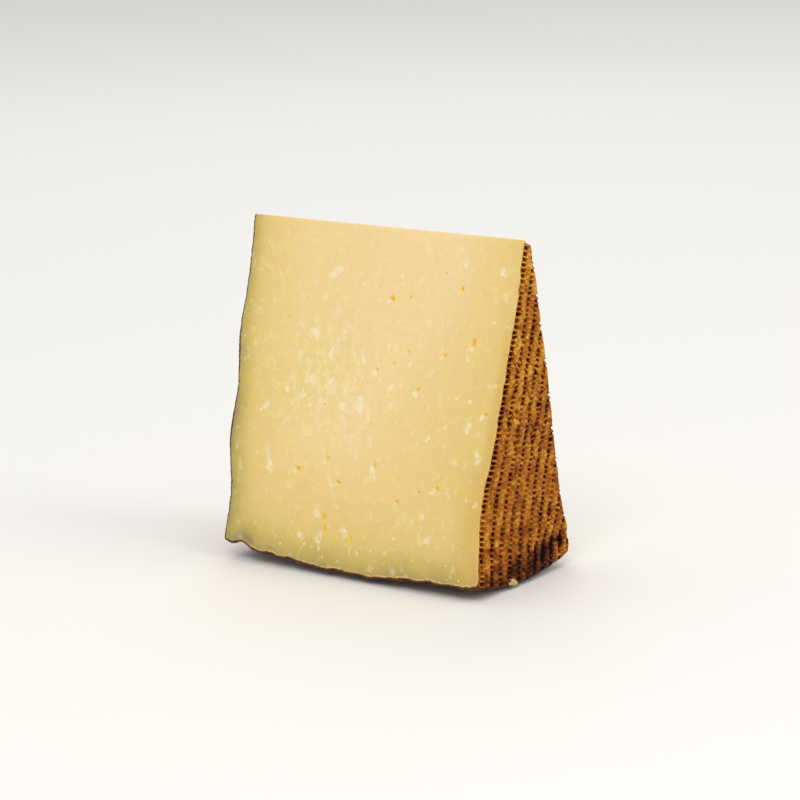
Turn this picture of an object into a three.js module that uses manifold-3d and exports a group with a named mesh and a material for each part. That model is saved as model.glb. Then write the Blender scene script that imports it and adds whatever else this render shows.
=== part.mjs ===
// A wedge of hard, aged sheep's-milk cheese, cut from a drum-shaped wheel.
// It stands on the wheel's rim, with the thin end, where the wheel's axis was, at the top.
// Two flat knife cuts face -Y and +Y. The wheel's two flat faces are at +X and -X, and its
// rim is underneath. These three carry the rind. The flat faces have the print of the woven
// mat that the wheel was pressed on: ribs with rows of small pits between them. The rim has
// the print of the plaited grass band that was wound round it.
//
// Units are millimetres, with +Z up. The origin is under the middle of the wedge, on the
// surface that it stands on. X runs along the wheel's axis.

import * as THREE from "three";
import { mergeVertices } from "three/addons/utils/BufferGeometryUtils.js";
import Module from "manifold-3d";

const { clamp, degToRad, lerp, smoothstep } = THREE.MathUtils;

// The wheel
const RIM_RADIUS = 100.4; // at the middle of the rim, where it bulges most
const BAND_EDGE = 39.4; // how far out along X the plaited band's edge pressed into the rim
const GROOVE_HALF = 2.3; // half the width of the groove that it left
const BLUNT_REACH = 4.5; // how far from the rim and the far cut a blunted corner begins

// Its two sides, at +X and -X. halfHeights lists [distance from the axis, half the height]
// along the near cut, where the face is dished, and shallower is the share of that dish which
// is gone by the far cut. The rim meets the flat face at cornerRadius, round a corner that
// reaches cornerRound along each of them, and a larger crownPower keeps the rim's bulge full
// until nearer that corner. edgeGroove is how deep the band's edge was pressed in, and blunted
// is how far the face is pushed in where the rim and the far cut meet it.
const RIGHT = {
  sign: 1,
  halfHeights: [[0, 47.1], [22, 47.0], [40, 46.2], [56, 45.1], [76, 43.8], [90, 45.0], [98, 46.0]],
  shallower: 0.5,
  cornerRadius: 98.4,
  cornerRound: 1.2,
  crownPower: 1.6,
  edgeGroove: 0,
  blunted: 1.0,
};
const LEFT = {
  sign: -1,
  halfHeights: [[0, 48.7], [20, 48.6], [36, 49.2], [52, 47.5], [66, 48.0], [82, 45.7], [98, 46.0]],
  shallower: 0.2,
  cornerRadius: 97.2,
  cornerRound: 1.4,
  crownPower: 1.5,
  edgeGroove: 1.5,
  blunted: 0,
};

// The knife cuts, as they cross the wheel
const NEAR_CUT_TILT = degToRad(14.06); // from upright, through the axis
const FAR_CUT_TILT = degToRad(12.25); // from upright, past the axis
const BLUNT_TOP = 2.7; // how far past the axis the far cut runs
const TOP_BEVEL_DROP = 2.1; // how far the blunt top falls from the near cut to the far one
const RESTING_DEPTH = 99.5; // from the axis to the flat spot that the wedge stands on

// The mat's print on the flat faces
const FIRST_ROW = 0.3; // from the near cut to the start of the first row
const RIB_SPACING = 4.4;
const PIT_EDGE = 0.15; // from a row's start to its pits, which fall steeply
const PIT_BOTTOM = 0.9; // from a row's start to its pits' deepest line
const PIT_END = 2.3; // from a row's start to where its pits have risen to the rib
const PIT_DEPTH = 0.85;
const RUNG_DEPTH = 0.25; // of the threads between two pits
const RIB_HEIGHT = 0.2;
const FILLED_SHARE = 0.14; // of the pits
const FILLED_STRENGTH = 0.3; // the depth of a filled pit, as a share
const LEAST_STRENGTH = 0.75; // the depth of the shallowest open pit, as a share

// The band's print on the rim: slanting strands, which turn back at the edges of each plait
const STRAND_SPACING = 5.7;
const STRAND_DEPTH = 0.6;
const STRAND_RISE = 0.12; // the share of that depth which is above the bare rim
const STRAND_SLANT = 0.5; // how far a strand runs round the wheel for each unit along X
const PLAIT_WIDTH = 24.5;

// The wheel's own unevenness
const LUMP_HEIGHT = 0.35;
const LUMP_LENGTH = 13;
const WORN_FLAT = 12; // how far round the resting spot the print is worn away
const WORN_REACH = 26; // how far round it the print is worn at all

// How finely the block of wheel is divided
const BLOCK_TOP = 5.1; // above the axis
const ROWS = 13;
const LINES_PER_ROW = 3;
const PITS_DOWN = 50;
const LINES_PER_PIT = 2;
const RIM_LINES = 32;

// The larger eyes in the near cut: [along X, below the axis, width, height, turn in degrees]
const EYES = [
  [4.8, 20.1, 1.6, 1.4, 20], [28.6, 15.3, 1.3, 1.4, -30], [34.6, 29.6, 1.6, 2.4, 15],
  [25.3, 34.4, 1.4, 1.1, -20], [12.5, 34.7, 0.9, 1.3, 30], [17.4, 45.3, 1.2, 1.9, 10],
  [41.4, 49.4, 1.6, 1.5, -35], [-11.6, 68.4, 1.2, 1.5, 10], [-21.6, 72.6, 1.9, 1.2, 15],
  [-6.9, 74.6, 2.0, 1.2, 12], [5.7, 68.1, 1.0, 2.4, -10], [28.1, 72.1, 1.5, 1.3, 25],
  [14.9, 77.4, 1.1, 1.2, 40], [-10.4, 85.1, 1.4, 2.2, 12], [-9.6, 88.6, 1.0, 2.0, -8],
  [0.3, 90.6, 1.0, 2.8, -24],
];
const EYE_DEPTH = 0.75; // as a share of the eye's smaller side
const FAR_EYES = 12;
const FAR_EYE_LEAST = 1.0;
const FAR_EYE_MOST = 2.6;

// Shallow scars where the knife pulled a flake off the near cut, listed in the same way
const FLAKE_SCARS = [
  [-36.3, 56.2, 4.6, 5.6, 20], [-20.4, 32.6, 4.2, 6.4, -15], [-21.2, 46.2, 4.4, 3.4, 30],
  [-16.6, 14.4, 3.6, 3.0, -25], [-2.8, 51.2, 4.0, 5.4, 10], [36.2, 53.4, 1.5, 3.6, 18],
];
const SCAR_DEPTH = 0.3;
const SCAR_BULGE = 1.6; // half the thickness of the lens that a scar is cut with

// A crumb of paste that sticks to the right face's rind, low down at the rim
const CRUMB_X = 45.6;
const CRUMB_ACROSS = 16.9; // from the near cut
const CRUMB_DISTANCE = 97.5; // from the axis
const CRUMB_SIZE = [1.7, 5.2, 2.0]; // along X, round the wheel, and away from the axis

const COLOUR = 0xecd08c;
const ROUGHNESS = 0.55;

/** Half the wheel's height on one side, at a distance from its axis and from the near cut. */
function halfHeight(side, distance, across = 0) {
  const distances = Float32Array.from(side.halfHeights, (station) => station[0]);
  const halves = Float32Array.from(side.halfHeights, (station) => station[1]);
  const curve = new THREE.CubicInterpolant(distances, halves, 1);
  const dished = curve.evaluate(clamp(distance, 0, side.cornerRadius))[0];
  const undished = lerp(halves[0], halves[halves.length - 1], distance / side.cornerRadius);
  const turn = across / Math.max(across, distance, 1);
  return lerp(dished, undished, (side.shallower * turn) / Math.sin(NEAR_CUT_TILT + FAR_CUT_TILT));
}

/** The rim's distance from the axis at a place along X. */
function rimDistance(side, x) {
  const share = Math.min(1, x / halfHeight(side, side.cornerRadius));
  const bulge = (RIM_RADIUS - side.cornerRadius) * share ** side.crownPower;
  return RIM_RADIUS - bulge - side.edgeGroove * Math.exp(-(((x - BAND_EDGE) / GROOVE_HALF) ** 2));
}

/** A place on the rounded corner, where `past` runs from -1 on the face to 1 on the rim. */
function onCorner(side, past) {
  const { cornerRadius, cornerRound } = side;
  const cornerX = halfHeight(side, cornerRadius);
  const faceEnd = cornerRadius - cornerRound;
  const rimEnd = cornerX - cornerRound;
  const curve = new THREE.QuadraticBezierCurve(
    new THREE.Vector2(halfHeight(side, faceEnd), faceEnd),
    new THREE.Vector2(cornerX, cornerRadius),
    new THREE.Vector2(rimEnd, rimDistance(side, rimEnd)),
  );
  const share = (past + 1) / 2;
  const place = curve.getPoint(share);
  return { x: place.x, distance: place.y, turn: share * (Math.PI / 2) };
}

/** A place on the bare flat face. The turn is its outward direction's, from along X. */
function onFace(side, distance, across) {
  const past = (distance - side.cornerRadius) / side.cornerRound;
  if (past > -1) return onCorner(side, past);
  return { x: halfHeight(side, distance, across), distance, turn: 0 };
}

/** A place on the bare rim. */
function onRim(side, x) {
  const past = (halfHeight(side, side.cornerRadius) - x) / side.cornerRound;
  return past < 1 ? onCorner(side, past) : { x, distance: rimDistance(side, x), turn: Math.PI / 2 };
}

/** How far in, along X, a face is pushed near its corner at the rim and the far cut. */
function blunting(side, across, down) {
  const past = Math.asin((BLUNT_TOP * Math.cos(FAR_CUT_TILT)) / side.cornerRadius);
  const angle = NEAR_CUT_TILT + FAR_CUT_TILT + past;
  const cornerAcross = side.cornerRadius * Math.sin(angle);
  const cornerDown = side.cornerRadius * Math.cos(angle);
  const away = Math.hypot(across - cornerAcross, down - cornerDown);
  return side.blunted * (1 - smoothstep(away, 0, BLUNT_REACH));
}

/** A repeatable number from 0 to 1 for a pair of whole numbers. */
function chance(i, j, seed) {
  const mixed = Math.sin(i * 127.1 + j * 311.7 + seed * 74.7) * 43758.5453;
  return mixed - Math.floor(mixed);
}

/** Smooth noise from -1 to 1, with one bump or hollow for each unit. */
function lumps(a, b, seed) {
  const [i, j] = [Math.floor(a), Math.floor(b)];
  const [u, v] = [smoothstep(a - i, 0, 1), smoothstep(b - j, 0, 1)];
  const low = lerp(chance(i, j, seed), chance(i + 1, j, seed), u);
  const high = lerp(chance(i, j + 1, seed), chance(i + 1, j + 1, seed), u);
  return 2 * lerp(low, high, v) - 1;
}

/** The mat's print, `across` millimetres from the first row and `pits` pits along it. */
function matPrint(across, pits, seed) {
  const row = Math.floor(across / RIB_SPACING);
  const within = across - row * RIB_SPACING;
  if (within <= PIT_EDGE || within >= PIT_END) return RIB_HEIGHT;
  const rise = (PIT_END - within) / (PIT_END - PIT_BOTTOM);
  const fall = (within - PIT_EDGE) / (PIT_BOTTOM - PIT_EDGE);
  const pit = Math.round(pits);
  const filled = chance(row, pit, seed) < FILLED_SHARE;
  const strength = filled ? FILLED_STRENGTH : lerp(LEAST_STRENGTH, 1, chance(pit, row, seed));
  const open = 0.5 + 0.5 * Math.cos(2 * Math.PI * pits);
  const depth = lerp(RUNG_DEPTH, PIT_DEPTH * strength, open);
  return RIB_HEIGHT - Math.min(fall, rise) * (depth + RIB_HEIGHT);
}

/** The plaited band's print, `around` millimetres round the rim and `x` along it. */
function plaitPrint(around, x) {
  const fromPlaitEdge = Math.abs(x) % PLAIT_WIDTH;
  const turnBack = Math.min(fromPlaitEdge, PLAIT_WIDTH - fromPlaitEdge);
  const strand = (around + STRAND_SLANT * turnBack) / STRAND_SPACING;
  return STRAND_DEPTH * (STRAND_RISE - (0.5 + 0.5 * Math.cos(2 * Math.PI * strand)) ** 2);
}

/** How much of the print is left at a place round the rim and along it. */
function wornShare(around, x) {
  return smoothstep(Math.hypot(x, around), WORN_FLAT, WORN_REACH);
}

/**
 * Moves a point of the plain block to its place on the wheel. `u` runs from -1 to 1 along X,
 * `across` is its distance from the near cut, and `up` runs from 0 at the rim to 1 at the top.
 */
function placeOnWheel(u, across, up) {
  const side = u < 0 ? LEFT : RIGHT;
  const deepest = Math.sqrt(side.cornerRadius ** 2 - across ** 2);
  const down = lerp(deepest, -BLOCK_TOP, up);
  const width = Math.abs(u) * halfHeight(side, Math.hypot(down, across));
  const lump = LUMP_HEIGHT * lumps(across / LUMP_LENGTH, (down + u * width) / LUMP_LENGTH, side.sign);
  const blunted = blunting(side, across, down);
  if (up === 0) return placeOnRim(side, width, across, lump, blunted);

  const bare = onFace(side, Math.hypot(down, across), across);
  const bareX = Math.abs(u) < 1 ? width : bare.x - blunted * Math.cos(bare.turn);
  const height = matPrint(across - FIRST_ROW, PITS_DOWN * (1 - up), side.sign) + lump;
  return turned(side, bareX, bare.distance, bare.turn, Math.atan2(across, down), height);
}

/**
 * A point of the printed rim. `lump` is what the wheel's own unevenness adds to its height,
 * and `blunted` how far in the face is pushed there.
 */
function placeOnRim(side, width, across, lump, blunted) {
  const { x, distance, turn } = onRim(side, width);
  const angle = Math.asin(across / distance);
  const around = distance * (angle - NEAR_CUT_TILT);
  const height = wornShare(around, x) * (plaitPrint(around, x) + lump);
  return turned(side, x - blunted * Math.cos(turn), distance, turn, angle, height);
}

/** A place of the wheel's outline, raised by `height` and turned round the axis by `angle`. */
function turned(side, x, distance, turn, angle, height) {
  const raised = distance + height * Math.sin(turn);
  const out = side.sign * (x + height * Math.cos(turn));
  return new THREE.Vector3(out, raised * Math.sin(angle), -raised * Math.cos(angle));
}

/** How far from the near cut the block's line number `line` runs. */
function lineAcross(line) {
  const places = [PIT_EDGE, PIT_BOTTOM, PIT_END];
  const row = Math.floor(line / LINES_PER_ROW) - 1;
  return FIRST_ROW + row * RIB_SPACING + places[line % LINES_PER_ROW];
}

/** The part of the wheel round the wedge, as one block with the print on its rind. */
function wheelBlock() {
  const rowLines = ROWS * LINES_PER_ROW;
  const pitLines = PITS_DOWN * LINES_PER_PIT;
  const block = new THREE.BoxGeometry(RIM_LINES, rowLines, pitLines, RIM_LINES, rowLines, pitLines);
  const corners = block.getAttribute("position");
  for (let i = 0; i < corners.count; i++) {
    const u = (2 * Math.round(corners.getX(i))) / RIM_LINES;
    const line = Math.round(corners.getY(i) + rowLines / 2);
    const up = Math.round(corners.getZ(i) + pitLines / 2) / pitLines;
    const place = placeOnWheel(u, lineAcross(line), up);
    corners.setXYZ(i, place.x, place.y, place.z);
  }
  return block.rotateX(-NEAR_CUT_TILT);
}

/** All that lies between the two cuts and above the surface that the wedge stands on. */
function betweenCuts() {
  const nearFoot = -RESTING_DEPTH * Math.tan(NEAR_CUT_TILT);
  const farFoot = BLUNT_TOP + RESTING_DEPTH * Math.tan(FAR_CUT_TILT);
  const farTop = BLUNT_TOP + TOP_BEVEL_DROP * Math.tan(FAR_CUT_TILT);
  const outline = new THREE.Shape([
    new THREE.Vector2(0, 0),
    new THREE.Vector2(nearFoot, -RESTING_DEPTH),
    new THREE.Vector2(farFoot, -RESTING_DEPTH),
    new THREE.Vector2(farTop, -TOP_BEVEL_DROP),
  ]);
  const length = 2 * RIM_RADIUS;
  const slab = new THREE.ExtrudeGeometry(outline, { depth: length, bevelEnabled: false });
  slab.translate(0, 0, -length / 2);
  // The outline's own X becomes +Y, its Y becomes +Z, and its length runs along X.
  return slab.applyMatrix4(new THREE.Matrix4().makeBasis(
    new THREE.Vector3(0, 1, 0),
    new THREE.Vector3(0, 0, 1),
    new THREE.Vector3(1, 0, 0),
  ));
}

/** Turns a hollow about its own middle and moves it to its place on the near cut. */
function ontoNearCut(hollow, x, down, turn) {
  return hollow.rotateY(degToRad(turn)).translate(x, 0, -down).rotateX(-NEAR_CUT_TILT);
}

/** Turns a hollow about its own middle and moves it to its place on the far cut. */
function ontoFarCut(hollow, x, down, turn) {
  return hollow.rotateY(degToRad(turn)).translate(x, 0, -down).rotateX(FAR_CUT_TILT)
    .translate(0, BLUNT_TOP, 0);
}

/** An angular little hollow, half of which lies behind the cut. */
function eye(width, height) {
  const depth = 2 * EYE_DEPTH * Math.min(width, height);
  return new THREE.IcosahedronGeometry(0.5, 0).scale(width, depth, height);
}

/** A wide lens, of which only SCAR_DEPTH lies behind the near cut. */
function flakeScar(width, height) {
  // A lens cut this far from its middle shows less than its own width, so it is made wider.
  const wider = 1 / Math.sqrt(1 - (1 - SCAR_DEPTH / SCAR_BULGE) ** 2);
  return new THREE.IcosahedronGeometry(0.5, 1)
    .scale(width * wider, 2 * SCAR_BULGE, height * wider)
    .translate(0, SCAR_DEPTH - SCAR_BULGE, 0);
}

/** Everything that is missing from the cuts: the eyes of both, and the near one's scars. */
function hollows() {
  const nearEyes = EYES.map(([x, down, width, height, turn]) =>
    ontoNearCut(eye(width, height), x, down, turn));
  const scars = FLAKE_SCARS.map(([x, down, width, height, turn]) =>
    ontoNearCut(flakeScar(width, height), x, down, turn));
  const farEyes = Array.from({ length: FAR_EYES }, (_, i) => {
    const x = lerp(-38, 38, chance(i, 0, 5));
    const down = lerp(12, 90, (i + 0.5) / FAR_EYES);
    const width = lerp(FAR_EYE_LEAST, FAR_EYE_MOST, chance(i, 1, 5));
    const height = lerp(FAR_EYE_LEAST, FAR_EYE_MOST, chance(i, 2, 5));
    return ontoFarCut(eye(width, height), x, down, 90 * chance(i, 3, 5));
  });
  return [...nearEyes, ...scars, ...farEyes];
}

/** The crumb, part of which lies inside the rind that it sticks to. */
function crumb() {
  const down = Math.sqrt(CRUMB_DISTANCE ** 2 - CRUMB_ACROSS ** 2);
  return new THREE.IcosahedronGeometry(0.5, 1)
    .scale(...CRUMB_SIZE)
    .translate(CRUMB_X, CRUMB_ACROSS, -down)
    .rotateX(-NEAR_CUT_TILT);
}

const wasm = await Module();
wasm.setup();

/** A closed geometry as a solid that can be cut and joined. */
function solidOf(geometry) {
  geometry.deleteAttribute("normal");
  geometry.deleteAttribute("uv");
  const merged = mergeVertices(geometry);
  return new wasm.Manifold(new wasm.Mesh({
    numProp: 3,
    vertProperties: merged.getAttribute("position").array,
    triVerts: new Uint32Array(merged.index.array),
  }));
}

/** A solid as a geometry. */
function geometryOf(solid) {
  const { vertProperties, triVerts } = solid.getMesh();
  const geometry = new THREE.BufferGeometry();
  geometry.setAttribute("position", new THREE.BufferAttribute(vertProperties, 3));
  geometry.setIndex(new THREE.BufferAttribute(triVerts, 1));
  return geometry;
}

/** The whole wedge, moved so that it stands on the origin. */
function wedge() {
  let solid = solidOf(wheelBlock()).intersect(solidOf(betweenCuts()));
  for (const hollow of hollows()) solid = solid.subtract(solidOf(hollow));
  solid = solid.add(solidOf(crumb()));
  const geometry = geometryOf(solid);
  geometry.computeBoundingBox();
  const { min, max } = geometry.boundingBox;
  geometry.translate(-(min.x + max.x) / 2, -(min.y + max.y) / 2, -min.z);
  geometry.computeVertexNormals();
  return geometry;
}

const cheese = new THREE.Group();
const paste = new THREE.MeshStandardMaterial({ color: COLOUR, roughness: ROUGHNESS, metalness: 0 });
const cheeseWedge = new THREE.Mesh(wedge(), paste);
cheeseWedge.name = "cheese_wedge";
cheese.add(cheeseWedge);

export default cheese;
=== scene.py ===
"""A wedge of hard, aged sheep's-milk cheese, standing on the rim of the wheel it was cut from.

Sizes in the classes below are in millimetres, and finished meshes are in metres. Shapes are
worked out in the wheel's own frame: X runs along its axis, the near knife cut is the plane
Y = 0, and the wedge hangs below the axis. There "across" is a distance from the near cut,
"down" a distance below the axis, and "distance" one from the axis.
"""

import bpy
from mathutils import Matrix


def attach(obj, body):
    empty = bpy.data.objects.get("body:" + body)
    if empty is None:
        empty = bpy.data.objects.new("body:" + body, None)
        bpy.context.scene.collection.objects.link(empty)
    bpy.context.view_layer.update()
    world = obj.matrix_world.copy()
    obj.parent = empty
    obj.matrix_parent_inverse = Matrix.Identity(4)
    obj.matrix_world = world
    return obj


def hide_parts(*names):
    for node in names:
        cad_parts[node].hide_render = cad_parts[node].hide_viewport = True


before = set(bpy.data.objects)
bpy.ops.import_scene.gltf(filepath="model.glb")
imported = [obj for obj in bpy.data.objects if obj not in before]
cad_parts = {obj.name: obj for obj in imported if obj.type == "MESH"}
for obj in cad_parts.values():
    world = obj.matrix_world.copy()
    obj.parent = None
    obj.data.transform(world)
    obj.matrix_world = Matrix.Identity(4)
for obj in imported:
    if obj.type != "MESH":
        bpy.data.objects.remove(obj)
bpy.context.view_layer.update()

import logging
import math
from dataclasses import dataclass, field, replace
from enum import IntEnum
from typing import Any

import bmesh
import bpy
import numpy as np
from bmesh.types import BMesh, BMVert
from bpy.types import Material, Mesh, NodeSocket, Object
from mathutils import Matrix, Vector
from mathutils.kdtree import KDTree

LOG = logging.getLogger("cheese")
MM = 0.001
NODE = "cheese_wedge"
BODY = "root"
Array = np.ndarray


class Zone(IntEnum):
    """The surfaces of the wedge, numbered as its material slots are."""

    PASTE = 0
    RIND = 1
    EYE = 2
    BROKEN = 3


def smooth_step(low: float, high: float, value: Array) -> Array:
    """Rises smoothly from 0 at low to 1 at high, or falls if high is below low."""
    share = np.clip((value - low) / (high - low), 0.0, 1.0)
    return share * share * (3.0 - 2.0 * share)


def blend(first: Any, second: Any, share: Any) -> Any:
    """A mix of two values, share being how much of the second there is."""
    return first + (second - first) * share


def chance(i: Array, j: Array, seed: float) -> Array:
    """A repeatable number from 0 to 1 for each pair of whole numbers."""
    mixed = np.sin(i * 127.1 + j * 311.7 + seed * 74.7) * 43758.5453
    return mixed - np.floor(mixed)


def lumps(a: Array, b: Array, seed: float) -> Array:
    """Smooth noise from -1 to 1 over two coordinates, with one bump or hollow a unit."""
    i, j = np.floor(a), np.floor(b)
    u, v = smooth_step(0.0, 1.0, a - i), smooth_step(0.0, 1.0, b - j)
    low = blend(chance(i, j, seed), chance(i + 1, j, seed), u)
    high = blend(chance(i, j + 1, seed), chance(i + 1, j + 1, seed), u)
    return 2.0 * blend(low, high, v) - 1.0


def rough_lumps(a: Array, b: Array, seed: float) -> Array:
    """Lumps with two sets of smaller ones on them, each half as large and half as high."""
    total = np.zeros_like(a)
    for octave in range(3):
        scale = 2.0**octave
        total += lumps(a * scale, b * scale, seed + 17.0 * octave) / scale
    return total


def through_stations(stations: tuple[tuple[float, float], ...], at: Array) -> Array:
    """A smooth curve through stations of place and value.

    Args:
        stations: The places, in rising order, with the value at each.
        at: Where to read the curve.

    Returns:
        The curve's value at each place.
    """
    places, values = (np.array(column) for column in zip(*stations))
    slopes = np.gradient(values, places)
    at = np.clip(at, places[0], places[-1])
    k = np.clip(np.searchsorted(places, at) - 1, 0, len(places) - 2)
    gap = places[k + 1] - places[k]
    t = (at - places[k]) / gap
    bend = slopes[k] * gap * t * (1 - t) ** 2 - slopes[k + 1] * gap * (1 - t) * t**2
    return blend(values[k], values[k + 1], t * t * (3 - 2 * t)) + bend


@dataclass(frozen=True)
class WheelSide:
    """One flat face of the wheel, with its half of the rim.

    Attributes:
        sign: 1 for the side at +X, -1 for the one at -X.
        half_heights: Half the wheel's height at distances from its axis, at the near cut.
        shallower: The share of the face's dish that is gone by the far cut.
        corner_radius: How far from the axis the face meets the rim.
        corner_round: How far the rounded corner reaches along the face and the rim.
        crown_power: How long the rim's bulge stays full towards its corner.
        edge_groove: How deep the plaited band's edge is pressed into the rim.
        blunted: How far the face is pushed in where the rim and the far cut meet it.
        grooves_from: How far from the near cut pits run together into grooves, near the rim.
    """

    sign: int
    half_heights: tuple[tuple[float, float], ...]
    shallower: float
    corner_radius: float
    corner_round: float
    crown_power: float
    edge_groove: float
    blunted: float
    grooves_from: float

    @property
    def seed(self) -> float:
        """What the chance features of this face are drawn with."""
        return 5.0 + self.sign

    def half_height(self, distance: Array, across: Any = 0.0) -> Array:
        """Half the wheel's height on this side, at distances from the axis and near cut."""
        distance = np.asarray(distance, float)
        dished = through_stations(self.half_heights, distance)
        first, last = self.half_heights[0][1], self.half_heights[-1][1]
        flat = blend(first, last, distance / self.corner_radius)
        turn = across / np.maximum(np.maximum(np.abs(across), distance), 1.0)
        return blend(dished, flat, self.shallower * turn / math.sin(CUTS.angle))

    def rim_distance(self, x: Array) -> Array:
        """The rim's distance from the axis at places along X."""
        share = np.minimum(1.0, x / self.half_height(self.corner_radius))
        bulge = (Wheel.rim_radius - self.corner_radius) * share**self.crown_power
        groove = np.exp(-(((x - Wheel.band_edge) / Wheel.groove_half) ** 2))
        return Wheel.rim_radius - bulge - self.edge_groove * groove

    def on_corner(self, past: Array) -> tuple[Array, Array, Array]:
        """Places on the rounded corner, where past runs from -1 on the face to 1 on the rim."""
        corner_x = self.half_height(self.corner_radius)
        face_end = self.corner_radius - self.corner_round
        rim_end = corner_x - self.corner_round
        t = (np.clip(past, -1.0, 1.0) + 1.0) / 2.0
        start, middle, end = (1 - t) ** 2, 2 * t * (1 - t), t**2
        x = start * self.half_height(face_end) + middle * corner_x + end * rim_end
        distance = (
            start * face_end + middle * self.corner_radius + end * self.rim_distance(rim_end)
        )
        return x, distance, t * math.pi / 2

    def on_face(self, distance: Array, across: Array) -> tuple[Array, ...]:
        """Places on the bare face, as X, distance and the outward turn from along X."""
        past = (distance - self.corner_radius) / self.corner_round
        flat = (self.half_height(distance, across), distance, np.zeros_like(distance))
        corner = self.on_corner(past)
        return tuple(np.where(past > -1.0, c, f) for c, f in zip(corner, flat))

    def on_rim(self, x: Array) -> tuple[Array, ...]:
        """Places on the bare rim, given in the same way."""
        past = (self.half_height(self.corner_radius) - x) / self.corner_round
        flat = (x, self.rim_distance(x), np.full_like(x, math.pi / 2))
        corner = self.on_corner(past)
        return tuple(np.where(past < 1.0, c, f) for c, f in zip(corner, flat))


@dataclass(frozen=True)
class KnifeCuts:
    """The two cuts that part the wedge from its wheel, and the surface it stands on.

    Attributes:
        near_tilt: The near cut's tilt from upright, in degrees. It runs through the axis.
        far_tilt: The far cut's tilt from upright, in degrees.
        blunt_top: How far past the axis the far cut runs.
        bevel_drop: How far the blunt top falls from the near cut to the far one.
        resting_depth: How far below the axis the flat spot lies that the wedge stands on.
        axis_x: Where the middle of the wheel's axis is in the part's frame, along X.
        axis_y: The same along Y.
    """

    near_tilt: float = 14.06
    far_tilt: float = 12.25
    blunt_top: float = 2.7
    bevel_drop: float = 2.1
    resting_depth: float = 99.5
    axis_x: float = 0.981
    axis_y: float = 0.268

    @property
    def angle(self) -> float:
        """The angle between the two cuts, in radians."""
        return math.radians(self.near_tilt + self.far_tilt)

    @property
    def wheel_to_part(self) -> Matrix:
        """Takes a point of the wheel's frame, in millimetres, to the part's, in metres."""
        axis = Vector((self.axis_x, self.axis_y, self.resting_depth))
        turn = Matrix.Rotation(math.radians(-self.near_tilt), 4, "X")
        return Matrix.Scale(MM, 4) @ Matrix.Translation(axis) @ turn

    def far_corner(self, distance: float) -> tuple[float, float]:
        """Across and down of the place where the far cut is at a distance from the axis."""
        past = math.asin(self.blunt_top * math.cos(math.radians(self.far_tilt)) / distance)
        return distance * math.sin(self.angle + past), distance * math.cos(self.angle + past)

    def behind_near(self, points: Array) -> Array:
        """How deep points of the wheel's frame lie behind the near cut."""
        return points[:, 1]

    def behind_far(self, points: Array) -> Array:
        """How deep points of the wheel's frame lie behind the far cut."""
        normal_y, normal_z = math.cos(self.angle), math.sin(self.angle)
        offset = self.blunt_top * math.cos(math.radians(self.far_tilt))
        return offset - (points[:, 1] * normal_y + points[:, 2] * normal_z)


CUTS = KnifeCuts()


class Wheel:
    """The whole wheel: its rim, where its plaited band ended, and its two sides."""

    rim_radius = 100.4
    band_edge = 39.4
    groove_half = 2.3
    right = WheelSide(
        sign=1,
        half_heights=(
            (0, 47.1), (22, 47.0), (40, 46.2), (56, 45.1), (76, 43.8), (90, 45.0), (98, 46.0),
        ),
        shallower=0.5,
        corner_radius=98.4,
        corner_round=1.2,
        crown_power=1.6,
        edge_groove=0.0,
        blunted=1.0,
        grooves_from=22.0,
    )
    left = WheelSide(
        sign=-1,
        half_heights=(
            (0, 48.7), (20, 48.6), (36, 49.2), (52, 47.5), (66, 48.0), (82, 45.7), (98, 46.0),
        ),
        shallower=0.2,
        corner_radius=97.2,
        corner_round=1.4,
        crown_power=1.5,
        edge_groove=1.5,
        blunted=0.0,
        grooves_from=9.0,
    )


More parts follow.
